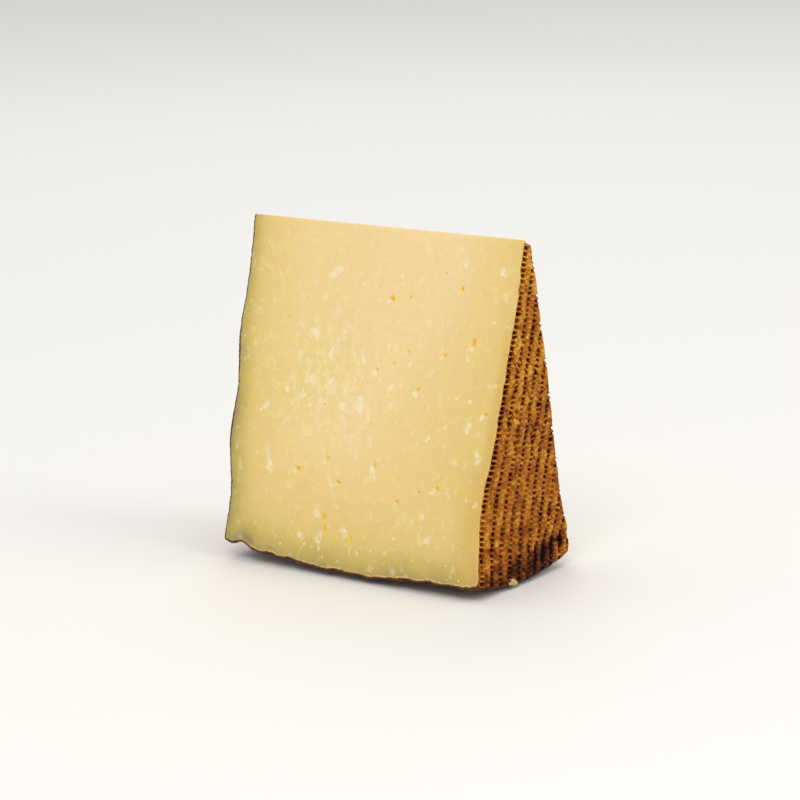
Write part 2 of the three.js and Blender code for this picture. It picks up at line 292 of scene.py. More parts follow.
@dataclass(frozen=True)
class MatPrint:
    """The print of the woven mat on a flat face: ribs, with a lane of oval pits beside each.

    A tone goes with each height: 0 where the rind is nearly black and 1 where it is palest.
    Much of it follows the relief as painted light: painted shade in the pits, dents and creases,
    and painted highlights on the rungs and on the wrinkles' crests.

    Attributes:
        first_row: From the near cut to the start of the first lane.
        rib_spacing: From one lane to the next, across them.
        pit_spacing: From one pit to the next, along a lane.
        pit_middle: From a lane's start to the middle of its pits.
        first_pit_width: A pit's size across the lane that is nearest the near cut.
        pit_width: The same in the other lanes.
        pit_length: A pit's size along its lane. The rungs between pits have the rest.
        drift: How much farther from the near cut the lanes are at the foot than at the top.
        pit_depth: How deep a full pit is.
        rung_height: How far the rungs stand up between pits.
        rib_height: How far the ribs stand above the wheel's bare outline.
        thread_depth: The depth of the print of the threads that cross the ribs.
        wrinkle_height: How high the dried rind's wrinkles are.
        creased_from: How far below the axis the most creased part begins.
        creased_to: How far below the axis it ends.
        groove_start: How far from the axis pits begin to run together into grooves.
        groove_end: How far from the axis the grooves end.
        stain_start: How far from the axis the rind begins to be stained dark, at the near cut.
        stain_rise: How much nearer the axis it begins at the far cut.
        straight: How far from the near cut the lanes begin to sway.
        lower: How far below the axis the pits begin to be smaller, and no longer get so.
        tone: The tone of the bare rind.
        filled: How far below the axis the first lane's pits are nearly filled.
        patches: Broad patches, each with its place across and down, its reach both ways and
            how much paler it is.
    """

    first_row: float = 0.3
    rib_spacing: float = 4.4
    pit_spacing: float = 1.55
    pit_middle: float = 1.2
    first_pit_width: float = 2.3
    pit_width: float = 1.9
    pit_length: float = 1.15
    drift: float = 0.7
    pit_depth: float = 0.95
    rung_height: float = 0.16
    rib_height: float = 0.12
    thread_depth: float = 0.08
    wrinkle_height: float = 0.10
    creased_from: float = 22.0
    creased_to: float = 62.0
    groove_start: float = 89.0
    groove_end: float = 95.4
    stain_start: float = 92.5
    stain_rise: float = 3.1
    straight: float = 5.0
    lower: tuple[float, float] = (56.0, 72.0)
    tone: float = 0.594
    filled: tuple[float, ...] = (13.0, 78.5, 92.0)
    patches: tuple[tuple[float, ...], ...] = (
        (6.0, 4.0, 14.0, 9.0, 0.09), (9.0, 23.0, 14.0, 9.0, -0.07), (6.0, 57.0, 8.0, 5.0, -0.04),
        (22.0, 59.0, 9.0, 6.0, 0.08), (3.0, 84.0, 8.0, 12.0, 0.08), (22.0, 82.0, 8.0, 8.0, -0.06),
    )

    def strength(self, row: Array, pit: Array, seed: float) -> Array:
        """How deep each pit is, as a share: runs of them are nearly filled, the rest vary."""
        patch = lumps(row / 1.3 + 0.3, pit / 4.5, seed + 3)
        drawn = chance(row, pit, seed) - 0.5
        share = np.clip(0.42 + 0.80 * patch + 0.7 * drawn, 0.05, 1.0)
        down = pit * self.pit_spacing
        filled = sum(np.exp(-(((down - place) / 2.6) ** 2)) for place in self.filled)
        return np.where(row == 0, np.maximum(share, 0.80 + 0.5 * drawn) - 0.75 * filled, share)

    def creasing(self, across: Array, down: Array) -> Array:
        """How creased the dried rind is, as a share, which fades over twice this distance."""
        fade = 8.0
        creased = smooth_step(0.0, self.straight, across)
        creased = creased * smooth_step(self.creased_from - fade, self.creased_from + fade, down)
        return creased * smooth_step(self.creased_to + fade, self.creased_to - fade, down)

    def lanes(self, across: Array, down: Array, distance: Array,
              creased: Array, seed: float) -> tuple[Array, Array, Array]:
        """Which lane each point is in, how far into it, and how far along it.

        Args:
            across: Distances from the near cut.
            down: Distances below the wheel's axis.
            distance: Distances from the axis.
            creased: How creased the rind is, which sways the lanes.
            seed: Which face it is.

        Returns:
            The lanes' numbers and both distances.
        """
        wander = 0.35 * lumps(down / 13.0, across / 9.0, seed)
        wander = wander + (0.12 + 0.35 * creased) * lumps(down / 3.5, across / 3.0, seed)
        wander = wander - self.drift * smooth_step(35.0, 70.0, down)
        bend = 2.2 * smooth_step(85.0, 90.5, distance) * smooth_step(22.0, 31.0, across)
        over = across - self.first_row + wander * smooth_step(0.0, self.straight, across) + bend
        row = np.floor(over / self.rib_spacing)
        within = over - row * self.rib_spacing
        along = down + 0.35 * lumps(down / 5.0, row * 1.7, seed + 1) + 0.6 * chance(row, row, seed)
        along = along + (0.12 + 0.5 * creased) * lumps(within / 1.5, down / 1.9, seed + 2)
        return row, within, along

    def from_pit(self, lane: tuple[Array, Array, Array], down: Array,
                 first: Array, seed: float) -> tuple[Array, Array, Array]:
        """How far points are from the middle of their pit, in shares of its half size.

        Args:
            lane: Which lane each point is in, how far into it, and how far along it.
            down: Distances below the wheel's axis.
            first: 1 in the right face's first lane, whose pits are wider, and 0 elsewhere.
            seed: Which face it is.

        Returns:
            The share across the lane, the one along it, and both in one with a ragged edge.
        """
        row, within, along = lane
        pit = np.floor(along / self.pit_spacing)
        lower = smooth_step(*self.lower, down)
        wide = blend(self.pit_width, blend(self.first_pit_width, self.pit_width, lower), first) / 2
        wide = wide * blend(blend(0.75, 0.90, first), 1.12, chance(row, pit, seed + 4))
        wide = wide * (1.0 + 0.12 * first * lumps(down / 7, row, seed))
        long = self.pit_length / 2 * blend(blend(0.7, 1.0, first), 1.15, chance(pit, row, seed + 2))
        aside = (within - self.pit_middle) / wide
        past = (along - (pit + 0.5) * self.pit_spacing) / long
        ragged = lumps(along / 0.55, within / 0.7, seed + 8)
        ragged = ragged + lumps(along / 1.2, within / 1.5, seed + 7)
        return aside, past, np.sqrt(aside**2 + past**2) + blend(0.17, 0.05, first) * ragged

    def grooves(self, row: Array, across: Array, distance: Array,
                side: WheelSide) -> Array:
        """How far each point's pits have run together into a groove, as a share."""
        starts = distance - self.groove_start + 0.8 * lumps(row * 1.3, row * 1.7, side.seed)
        groove = smooth_step(0.0, 1.5, starts)
        groove = groove * smooth_step(self.groove_end, self.groove_end - 1.5, distance)
        return groove * smooth_step(side.grooves_from, side.grooves_from + 6.0, across)

    def relief(
        self, across: Array, down: Array, side: WheelSide, distance: Array
    ) -> tuple[Array, Array]:
        """The print's height over the wheel's bare face, and its tone.

        Args:
            across: Distances from the near cut.
            down: Distances below the wheel's axis.
            side: The face that is printed.
            distance: Distances from the axis.

        Returns:
            Heights, which are negative in the pits, and tones.
        """
        seed = side.seed
        upper = smooth_step(self.creased_to, self.creased_from, down)
        creased = self.creasing(across, down)
        row, within, along = self.lanes(across, down, distance, creased, seed)
        first = np.where((row == 0) & (side.sign > 0), 1.0, 0.0)
        aside, past, out = self.from_pit((row, within, along), down, first, seed)

        strength = self.strength(row, np.floor(along / self.pit_spacing), seed)
        strength = strength + 0.20 * upper * smooth_step(0.0, self.straight, across)
        strength = strength - 0.18 * smooth_step(10.0, 28.0, across) * smooth_step(*self.lower, down)
        strength = strength - blend(0.38, 0.14, first) * smooth_step(66.0, 80.0, down)
        strength = np.clip(strength - 0.30 * smooth_step(90.5, 94.5, distance), 0.0, 1.0)
        groove = self.grooves(row, across, distance, side)
        lane = smooth_step(1.25, 0.75, np.abs(aside))
        streak = 0.50 + 0.35 * lumps(across / 0.45, down / 2.5, seed + 21)
        hole = smooth_step(1.08, blend(0.55, 0.72, first), out) * strength
        hole = np.maximum(hole, streak * groove * smooth_step(1.45, 0.75, np.abs(aside)))
        dent = smooth_step(1.15, 0.5, out) * (1.0 - strength)
        rung = smooth_step(0.95 - 0.08 * first, 1.25 - 0.15 * first, np.abs(past))
        rung = lane * rung * (1.0 - groove)

        bent = along + 0.25 * lumps(down, across / 1.6, seed)
        bent = 2 * math.pi * bent / self.pit_spacing
        threads = (0.7 * np.cos(bent + math.pi) + 0.4 * np.cos(2 * bent)) * (1.0 - lane)
        threads = threads * (0.75 + 0.45 * lumps(down / 4, across / 4, seed + 9))
        beside = np.abs(within - self.pit_middle - self.rib_spacing / 2)
        rib = smooth_step(1.2, 0.2, beside + 0.25 * lumps(down / 1.6, row * 1.7, seed + 23))
        threads = threads * (1.0 - 0.5 * rib)
        wrinkles = rough_lumps(down / 2.2, across / 1.7, seed + 11)
        fold = lumps((down + across) / 3.1, (across - down) / 2.3, seed + 13)
        folded = smooth_step(-0.1, 0.5, lumps(down / 11, across / 8, seed + 15)) + creased
        crease = smooth_step(0.84, 1.0, 1.0 - np.abs(fold)) * np.clip(folded, 0, 1)

        height = self.rib_height - self.pit_depth * hole - 0.3 * dent + self.rung_height * rung
        height = height + self.thread_depth * threads + 0.05 * rib
        height = height + self.wrinkle_height * (wrinkles - 1.5 * crease)
        # Painted shade: the tone is darkened in the pits and grooves, most of all at a pit's side
        # towards the near cut, and less so in the shallow dents.
        dark = blend(blend(0.90, 0.80, first), 0.62, groove)
        dark = dark * (1.0 - blend(0.25, 0.40, first) * smooth_step(-0.2, 1.0, aside))
        tone = self.tone + 0.05 * rib - dark * hole - 0.20 * dent - 0.08 * lane * (1.0 - first)
        # Painted highlight: the rungs' tops are made paler in the tone. The threads' light and dark
        # bars are their print.
        tone = tone + blend(0.17, 0.20, first) * rung + 0.17 * threads
        # Painted light and shade: the wrinkles' crests are made paler and the creases darker,
        # following the relief.
        tone = tone + 0.15 * wrinkles - 0.34 * crease
        tone = tone + 0.07 * lumps(down / 9, across / 7, seed + 19) + 0.07 * upper
        for middle, middle_down, reach, reach_down, paler in self.patches:
            away = np.hypot((across - middle) / reach, (down - middle_down) / reach_down)
            tone = tone + paler * np.exp(-(away**2))
        return height, tone - self.stain(across, down, distance, seed)

    def stain(
        self, across: Array, down: Array, distance: Array, seed: float
    ) -> Array:
        """How much the rind is darkened towards the rim, less so far from the near cut."""
        uneven = 3.2 * lumps(down / 7, across / 6, seed + 17)
        uneven = uneven + 1.2 * lumps(down / 1.9, across / 1.3, seed + 18)
        start = self.stain_start - self.stain_rise * smooth_step(4.0, 24.0, across)
        gone = smooth_step(34.0, 40.0, across)
        return 0.37 * (1.0 - gone) * smooth_step(-2.0, 5.0, distance - start + uneven)


@dataclass(frozen=True)
class PlaitPrint:
    """The print of the plaited grass band on the rim: slanting strands that turn back.

    Attributes:
        strand_spacing: From one strand to the next, round the wheel.
        strand_depth: From the strands' tops to the grooves between them.
        strand_rise: The share of that depth which is above the bare rim.
        slant: How far a strand runs round the wheel for each unit along X.
        plait_width: From one edge of a plait to the next but one, along X.
        blade_spacing: Between the grass blades that a strand is made of.
        blade_depth: The depth of the blades' print.
    """

    strand_spacing: float = 5.7
    strand_depth: float = 0.6
    strand_rise: float = 0.12
    slant: float = 0.5
    plait_width: float = 24.5
    blade_spacing: float = 1.05
    blade_depth: float = 0.20

    def relief(self, around: Array, x: Array) -> tuple[Array, Array]:
        """The print's height over the bare rim and its tone, round the rim and along X."""
        from_edge = np.mod(np.abs(x), self.plait_width)
        turn_back = np.minimum(from_edge, self.plait_width - from_edge)
        run = around + self.slant * turn_back + 0.4 * lumps(x / 6.0, around / 6.0, 21)
        groove = (0.5 + 0.5 * np.cos(2 * math.pi * run / self.strand_spacing)) ** 2
        swayed = run + 0.35 * lumps(x / 2, around / 2, 22)
        blades = np.cos(2 * math.pi * swayed / self.blade_spacing) * (1 - groove)
        rough = rough_lumps(x / 1.1, around / 1.1, 23)
        height = self.strand_depth * (self.strand_rise - groove) + self.blade_depth * blades
        return height + 0.20 * rough, 0.34 - 0.30 * groove + 0.10 * blades + 0.10 * rough


@dataclass(frozen=True)
class Rind:
    """The skin of the wheel round the wedge, as one ribbon: down the left face, along the
    rim and up the right face, closed into a block that the cuts then pass through.

    Attributes:
        top: How far above the axis the ribbon starts.
        near: The ribbon's edge outside the near cut, as a distance across.
        far: Its edge outside the far cut.
        face_step: Between the ribbon's lines on the flat faces.
        across_step: Between its lines from the near edge to the far one.
        rim_step: Between its lines on the rim.
        lump_height: The height of the wheel's own unevenness.
        lump_length: The length of those lumps.
        worn_flat: How far round the resting spot the rim's print is worn away.
        worn_reach: How far round it the print is worn at all.
        blunt_reach: How far from the rim and the far cut a blunted corner begins.
        mat: The flat faces' print.
        plait: The rim's print.
    """

    top: float = 4.0
    near: float = -1.6
    far: float = 48.4
    face_step: float = 0.25
    across_step: float = 0.37
    rim_step: float = 0.52
    lump_height: float = 0.35
    lump_length: float = 13.0
    worn_flat: float = 10.0
    worn_reach: float = 24.0
    blunt_reach: float = 4.5
    mat: MatPrint = field(default_factory=MatPrint)
    plait: PlaitPrint = field(default_factory=PlaitPrint)

    def lump(self, across: Array, down: Array, x: Array,
             side: WheelSide) -> Array:
        """The wheel's own unevenness, in millimetres."""
        second = (down + side.sign * x) / self.lump_length
        return self.lump_height * lumps(across / self.lump_length, second, side.sign)

    def blunting(self, across: Array, down: Array, side: WheelSide) -> Array:
        """How far in a face is pushed, along X."""
        corner = CUTS.far_corner(side.corner_radius)
        away = np.hypot(across - corner[0], down - corner[1])
        return side.blunted * smooth_step(self.blunt_reach, 0.0, away)

    def worn_share(self, around: Array, x: Array) -> Array:
        """How much of the print is left at places round the rim and along it."""
        return smooth_step(self.worn_flat, self.worn_reach, np.hypot(x, around))

    def face_print(
        self, across: Array, down: Array, side: WheelSide
    ) -> tuple[Array, Array]:
        """The mat's print and tone. The print fades at the very corner of the rim."""
        distance = np.hypot(across, down)
        fade = 1.0 - smooth_step(side.corner_radius - 1.0, side.corner_radius, distance)
        height, tone = self.mat.relief(across, down, side, distance)
        return fade * height, tone

    def rim_print(self, around: Array, x: Array) -> tuple[Array, Array]:
        """The plait's print, as far as it isn't worn, and its tone."""
        height, tone = self.plait.relief(around, x)
        return self.worn_share(around, x) * height, tone

    def around(self, across: Array, distance: Array) -> Array:
        """How far round the rim a place is from the spot right under the axis."""
        return distance * (np.arcsin(across / distance) - math.radians(CUTS.near_tilt))

    def face_points(self, side: WheelSide, across: Array, up: Array) -> Array:
        """Points of a printed flat face, up running from 0 at the rim to 1 at the top."""
        deepest = np.sqrt(side.corner_radius**2 - across**2)
        down = blend(deepest, -self.top, up)
        x, distance, turn = side.on_face(np.hypot(down, across), across)
        height = self.face_print(across, down, side)[0] + self.lump(across, down, x, side)
        x = x - self.blunting(across, down, side) * np.cos(turn)
        return self.turned(side, x, distance, turn, np.arctan2(across, down), height)

    def rim_points(self, side: WheelSide, across: Array, share: Array) -> Array:
        """Points of the printed rim, share running from 0 in its middle to 1 at the corner."""
        down = np.sqrt(side.corner_radius**2 - across**2)
        width = share * side.half_height(side.corner_radius)
        x, distance, turn = side.on_rim(width)
        around = self.around(across, distance)
        lump = self.worn_share(around, x) * self.lump(across, down, width, side)
        height = self.rim_print(around, x)[0] * smooth_step(1.0, 0.97, share) + lump
        x = x - self.blunting(across, down, side) * np.cos(turn)
        return self.turned(side, x, distance, turn, np.arcsin(across / distance), height)

    def turned(self, side: WheelSide, x: Array, distance: Array, turn: Array,
               angle: Array, height: Array) -> Array:
        """Places of the wheel's outline, raised by height and turned round the axis."""
        raised = distance + height * np.sin(turn)
        out = side.sign * (x + height * np.cos(turn))
        return np.stack([out, raised * np.sin(angle), -raised * np.cos(angle)], -1)

    def place(self, i: Array, j: Array, faces: int, rims: int, rows: int) -> Array:
        """Where the ribbon's grid points go.

        Args:
            i: Each point's line along the ribbon.
            j: Its line from the near edge to the far one.
            faces: How many steps the ribbon takes down one face.
            rims: How many it takes along the rim.
            rows: How many it has from the near edge to the far one.

        Returns:
            Points in the wheel's frame.
        """
        across = blend(self.near, self.far, j / rows)
        points = np.empty((len(i), 3))
        share = (i - faces) / (rims / 2) - 1.0
        for side in (Wheel.left, Wheel.right):
            on_rim = (np.abs(share) <= 1.0) & (share * side.sign >= 0.0)
            points[on_rim] = self.rim_points(side, across[on_rim], np.abs(share[on_rim]))
            on_face = share * side.sign > 1.0
            up = (np.abs(share[on_face]) - 1.0) * (rims / 2) / faces
            points[on_face] = self.face_points(side, across[on_face], up)
        edge = (j == 0) | (j == rows)
        points[edge, 1] = across[edge]
        return points

    def build(self) -> Object:
        """The block of wheel, all of whose faces count as rind."""
        faces = round((Wheel.right.corner_radius + self.top) / self.face_step)
        rims = 2 * round(Wheel.right.half_height(Wheel.right.corner_radius) / self.rim_step)
        rows = round((self.far - self.near) / self.across_step)
        steps = 2 * faces + rims
        bm = bmesh.new()
        bmesh.ops.create_grid(bm, x_segments=steps, y_segments=rows, size=0.5)
        ends = [e for e in bm.edges if abs(abs(e.verts[0].co.x + e.verts[1].co.x) - 1.0) < 1e-6]
        bmesh.ops.bridge_loops(bm, edges=ends)
        grid = np.array([vert.co for vert in bm.verts]) + 0.5
        i, j = np.rint(grid[:, 0] * steps), np.rint(grid[:, 1] * rows)
        points = self.place(i, j, faces, rims, rows)
        for vert, point in zip(bm.verts, points):
            vert.co = point
        bmesh.ops.edgeloop_fill(bm, edges=[e for e in bm.edges if e.is_boundary])
        bmesh.ops.recalc_face_normals(bm, faces=bm.faces)
        return finish_mesh(bm, "wheel_block", Zone.RIND)


@dataclass(frozen=True)
class KnifeWork:
    """All that lies between the cuts, with the slight waves that the knife left on them.

    Attributes:
        half_length: How far it runs along X each way, which is past the rind.
        step: Between the lines of its two cut surfaces.
        fine_step: The same near the rind.
        fine_x: How far out along X the lines draw together.
        fine_down: How far below the axis they do.
        foot_steps: How many steps the foot has from one cut to the other.
        wave_height: The height of the waves.
        wave_length: The length of the waves, along X and down.
    """

    half_length: float = 53.0
    step: float = 1.6
    fine_step: float = 0.42
    fine_x: float = 42.0
    fine_down: float = 91.0
    foot_steps: int = 24
    wave_height: float = 0.10
    wave_length: tuple[float, float] = (9.0, 16.0)

    def outline(self) -> list[Vector]:
        """The section's four corners in the wheel's frame, from the top of the near cut."""
        depth = CUTS.resting_depth
        far_slope = math.tan(math.radians(CUTS.far_tilt))
        upright = (
            (0.0, 0.0),
            (-depth * math.tan(math.radians(CUTS.near_tilt)), -depth),
            (CUTS.blunt_top + depth * far_slope, -depth),
            (CUTS.blunt_top + CUTS.bevel_drop * far_slope, -CUTS.bevel_drop),
        )
        turn = Matrix.Rotation(math.radians(CUTS.near_tilt), 4, "X")
        return [turn @ Vector((-self.half_length, y, z)) for y, z in upright]

    def build(self) -> Object:
        """The prism between the cuts, finely divided where it cuts."""
        bm = bmesh.new()
        end = bm.faces.new([bm.verts.new(corner) for corner in self.outline()])
        pushed = bmesh.ops.extrude_face_region(bm, geom=[end])["geom"]
        verts = [item for item in pushed if isinstance(item, BMVert)]
        bmesh.ops.translate(bm, verts=verts, vec=(2 * self.half_length, 0, 0))
        bmesh.ops.recalc_face_normals(bm, faces=bm.faces)
        depth = CUTS.resting_depth / math.cos(math.radians(CUTS.near_tilt))
        along = 2 * (self.fine_x / self.step + (self.half_length - self.fine_x) / self.fine_step)
        below = self.fine_down / self.step + (depth - self.fine_down) / self.fine_step
        self.divide(bm, 0, 1.0, along)
        self.divide(bm, 2, depth / 2, below)
        bmesh.ops.recalc_face_normals(bm, faces=bm.faces)
        self.draw_together(bm, depth, along, below)
        self.divide(bm, 1, 30.0, self.foot_steps)
        self.wave(bm)
        block = finish_mesh(bm, "knife_work", Zone.PASTE)
        self.mark_foot(block)
        return block

    def divide(self, bm: BMesh, axis: int, least: float, steps: float) -> None:
        """Divides the edges that run farther than the least along an axis, grids between."""
        edges = [e for e in bm.edges if abs(e.verts[0].co[axis] - e.verts[1].co[axis]) > least]
        bmesh.ops.subdivide_edges(bm, edges=edges, cuts=round(steps) - 1, use_grid_fill=True)

    def draw_together(self, bm: BMesh, depth: float, along: float,
                      below: float) -> None:
        """Moves evenly spaced lines together near the rind and apart elsewhere.

        Args:
            bm: The divided prism.
            depth: How long the near cut is, from the axis down.
            along: How many steps the prism has along X.
            below: How many it has down each cut.
        """
        coarse_x = self.fine_x / self.step / (along / 2)
        coarse_down = self.fine_down / self.step / below
        outline = self.outline()
        for vert in bm.verts:
            share = abs(vert.co.x) / self.half_length
            out = np.interp(share, (0.0, coarse_x, 1.0), (0.0, self.fine_x, self.half_length))
            vert.co.x = math.copysign(out, vert.co.x)
            near = abs(vert.co.y) < 1e-4
            top, foot = (outline[0], outline[1]) if near else (outline[3], outline[2])
            share = (vert.co.z - top.z) / (foot.z - top.z)
            lower = np.interp(share, (0.0, coarse_down, 1.0), (0.0, self.fine_down / depth, 1.0))
            vert.co.yz = top.yz.lerp(foot.yz, lower)

    def wave(self, bm: BMesh) -> None:
        """Moves the points of the two cut surfaces in and out by the waves."""
        bm.verts.ensure_lookup_table()
        points = np.array([vert.co for vert in bm.verts])
        fade = smooth_step(3.0, 9.0, -points[:, 2])
        for seed, behind in enumerate((CUTS.behind_near(points), CUTS.behind_far(points))):
            a, b = points[:, 0] / self.wave_length[0], points[:, 2] / self.wave_length[1]
            waves = self.wave_height * fade * rough_lumps(a, b, 31.0 + seed)
            for index in np.flatnonzero(np.abs(behind) < 0.01):
                bm.verts[index].co.y += waves[index]

    def mark_foot(self, block: Object) -> None:
        """Makes the spot that the wedge rests on rind, as it is part of the rim."""
        for polygon in block.data.polygons:
            if polygon.normal.z < -0.999:
                polygon.material_index = Zone.RIND


@dataclass(frozen=True)
class Hollow:
    """One small hollow in a cut, as a place along X and down the cut, a size and a turn."""

    x: float
    down: float
    width: float
    height: float
    turn: float
    far: bool = False

    def clear_of(self, other: "Hollow") -> bool:
        """Whether there is cut surface left between this hollow and another one."""
        apart = math.hypot(self.x - other.x, self.down - other.down)
        return apart > 0.62 * (max(self.width, self.height) + max(other.width, other.height))

    def lens(self, depth: float, bulge: float) -> Matrix:
        """Makes a unit ball the lens that this hollow is cut with.

        Args:
            depth: How deep the hollow is.
            bulge: Half the lens's thickness. It shows less than its own width at the cut, so
                it is made wider.

        Returns:
            What takes the ball to its size and place.
        """
        wider = 1 / math.sqrt(1 - (1 - depth / bulge) ** 2)
        shape = replace(self, width=self.width * wider, height=self.height * wider)
        return shape.matrix(2 * bulge, depth - bulge)

    def matrix(self, depth: float, sink: float) -> Matrix:
        """Places a unit ball as a hollow of this size, its middle sunk behind the cut."""
        onto = Matrix.Identity(4)
        if self.far:
            turn = Matrix.Rotation(CUTS.angle, 4, "X")
            offset = CUTS.blunt_top * math.cos(math.radians(CUTS.near_tilt))
            fall = -CUTS.blunt_top * math.sin(math.radians(CUTS.near_tilt))
            onto = Matrix.Translation((0, offset, -fall)) @ turn
        inward = -sink if self.far else sink
        place = Matrix.Translation((self.x, inward, -self.down))
        turned = Matrix.Rotation(math.radians(self.turn), 4, "Y")
        return onto @ place @ turned @ Matrix.Diagonal((self.width, depth, self.height, 1.0))


@dataclass(frozen=True)
class Eyes:
    """The eyes: small irregular holes that gas left in the paste, open where it was cut.

    Attributes:
        near: The larger eyes of the near cut: X, down, width, height and turn in degrees.
        small: The places of its small ones: X, down and size.
        far_count: How many the far cut has.
        depth_share: An eye's depth as a share of its smaller side.
        bulge_share: Half the thickness of the lens that it is cut with, in the same way.
        ragged: How uneven an eye's outline is, as a share of its size.
    """

    near: tuple[tuple[float, ...], ...] = (
        (4.8, 20.1, 1.6, 1.4, 20), (28.6, 15.3, 1.3, 1.4, -30), (34.6, 29.6, 1.6, 2.4, 15),
        (25.3, 34.4, 1.4, 1.1, -20), (12.5, 34.7, 0.9, 1.3, 30), (17.4, 45.3, 1.2, 1.9, 10),
        (41.4, 49.4, 1.6, 1.5, -35), (-11.6, 68.4, 1.2, 1.5, 10), (-21.6, 72.6, 1.9, 1.2, 15),
        (-6.9, 74.6, 2.0, 1.2, 12), (5.7, 68.1, 1.0, 2.4, -10), (28.1, 72.1, 1.5, 1.3, 25),
        (14.9, 77.4, 1.1, 1.2, 40), (-10.4, 85.1, 1.4, 2.2, 12), (-9.6, 88.6, 1.0, 2.0, -8),
        (0.3, 90.6, 1.0, 2.8, -24),
    )
    small: tuple[tuple[float, float, float], ...] = (
        (-0.2, 17.1, 0.7), (11.0, 19.4, 0.8), (22.4, 11.4, 0.8), (7.9, 38.5, 0.7), (2.4, 41.1, 0.8),
        (41.9, 31.7, 0.6), (43.7, 38.3, 0.6), (-31.3, 29.0, 0.8), (28.7, 69.0, 0.7),
        (21.8, 73.7, 0.8), (-15.0, 53.0, 0.7), (2.3, 56.6, 0.6),
    )
    far_count: int = 12
    depth_share: float = 0.24
    bulge_share: float = 1.2
    ragged: float = 0.55

    def hollows(self) -> list[Hollow]:
        """Every eye of both cuts."""
        found = [Hollow(*eye) for eye in self.near]
        for k, (x, down, size) in enumerate(self.small):
            found.append(Hollow(x, down, size, size * 1.2, 30.0 * k))
        for k in range(self.far_count):
            x = blend(-38, 38, chance(k, 0, 5))
            down = blend(12, 90, (k + 0.5) / self.far_count)
            width, height = (blend(1.0, 2.6, chance(k, axis, 5)) for axis in (1, 2))
            found.append(Hollow(x, down, width, height, 90 * chance(k, 3, 5), far=True))
        return found

    def build(self) -> Object:
        """All the eyes as one mesh of ragged lenses."""
        bm = bmesh.new()
        for number, hollow in enumerate(self.hollows()):
            narrow = min(hollow.width, hollow.height)
            place = hollow.lens(self.depth_share * narrow, self.bulge_share * narrow)
            ragged_ball(bm, place, number, self.ragged, 3, flat=True)
        return finish_mesh(bm, "eyes", Zone.EYE)


@dataclass(frozen=True)
class FlakeScars:
    """Shallow scars where the knife pulled flakes off the cuts.

    Attributes:
        places: Each large scar's X, down, width, height and turn in degrees.
        count: How many small ones there are on each cut.
        smallest: The size of the smallest.
        largest: The size of the largest of those.
        depth: How deep a scar is.
        bulge: Half the thickness of the lens that a scar is cut with.
        ragged: How uneven a scar's outline is, as a share of its size.
    """

    places: tuple[tuple[float, ...], ...] = (
        (-36.3, 56.2, 4.6, 5.6, 20), (-20.4, 32.6, 4.2, 6.4, -15), (-21.2, 46.2, 4.4, 3.4, 30),
        (-16.6, 14.4, 3.6, 3.0, -25), (-2.8, 51.2, 4.0, 5.4, 10), (36.2, 53.4, 1.5, 3.6, 18),
        (-9.0, 52.6, 3.2, 2.6, 0), (8.7, 51.0, 2.4, 3.6, 25), (5.0, 70.6, 2.2, 4.0, -10),
        (2.4, 93.4, 1.6, 3.6, -22), (-20.6, 53.1, 2.6, 2.2, 60), (-13.0, 84.0, 2.6, 3.2, 20),
        (-2.2, 89.2, 2.2, 2.0, 40), (-11.4, 91.4, 1.8, 4.0, -15), (-14.8, 39.0, 3.0, 4.6, 20),
        (-26.0, 40.4, 2.4, 3.4, -25), (-14.6, 46.8, 2.6, 3.6, 35), (-29.0, 50.0, 2.2, 3.0, 10),
    )
    count: int = 60
    smallest: float = 0.7
    largest: float = 2.4
    depth: float = 0.16
    bulge: float = 1.6
    ragged: float = 0.75

    def scars(self, eyes: Eyes) -> list[Hollow]:
        """Every scar: the large ones, one beside each large eye, and scattered small ones."""
        found = [Hollow(*place) for place in self.places]
        beside = [
            Hollow(x - 0.8 * width, down + 0.7 * height, 1.2 * width, 1.1 * height, turn - 30)
            for x, down, width, height, turn in eyes.near
        ]
        found += [scar for scar in beside if all(scar.clear_of(other) for other in found)]
        for k in range(2 * self.count):
            x = blend(-40.0, 42.0, chance(k, 0, 8))
            down = blend(6.0, 94.0, chance(k, 1, 8) ** 0.8)
            size = blend(self.smallest, self.largest, chance(k, 2, 8) ** 2)
            height = size * blend(0.8, 1.9, chance(k, 3, 8))
            scar = Hollow(x, down, size, height, blend(-50, 50, chance(k, 4, 8)), k % 2 == 1)
            if all(scar.far != other.far or scar.clear_of(other) for other in found):
                found.append(scar)
        return found

    def build(self, eyes: Eyes) -> Object:
        """All the scars as one mesh of ragged lenses."""
        bm = bmesh.new()
        for number, scar in enumerate(self.scars(eyes)):
            place = scar.lens(self.depth, self.bulge)
            fineness = 4 if scar.height > 2.0 else 3
            ragged_ball(bm, place, 50 + number, self.ragged, fineness, flat=True)
        return finish_mesh(bm, "flake_scars", Zone.BROKEN)


@dataclass(frozen=True)
class Crumb:
    """A crumb of paste that sticks to the right face's rind, low down at the rim.

    Attributes:
        x: Where it is along X.
        across: How far it is from the near cut.
        distance: How far from the axis.
        size: Its size along X, round the wheel and away from the axis.
        ragged: How uneven it is, as a share of its size.
    """

    x: float = 45.6
    across: float = 16.9
    distance: float = 97.5
    size: tuple[float, float, float] = (1.7, 5.2, 2.0)
    ragged: float = 0.28

    def build(self) -> Object:
        """The crumb as a ragged ball."""
        bm = bmesh.new()
        down = math.sqrt(self.distance**2 - self.across**2)
        place = Matrix.Translation((self.x, self.across, -down))
        ragged_ball(bm, place @ Matrix.Diagonal((*self.size, 1.0)), 93, self.ragged, 3)
        return finish_mesh(bm, "crumb", Zone.PASTE)


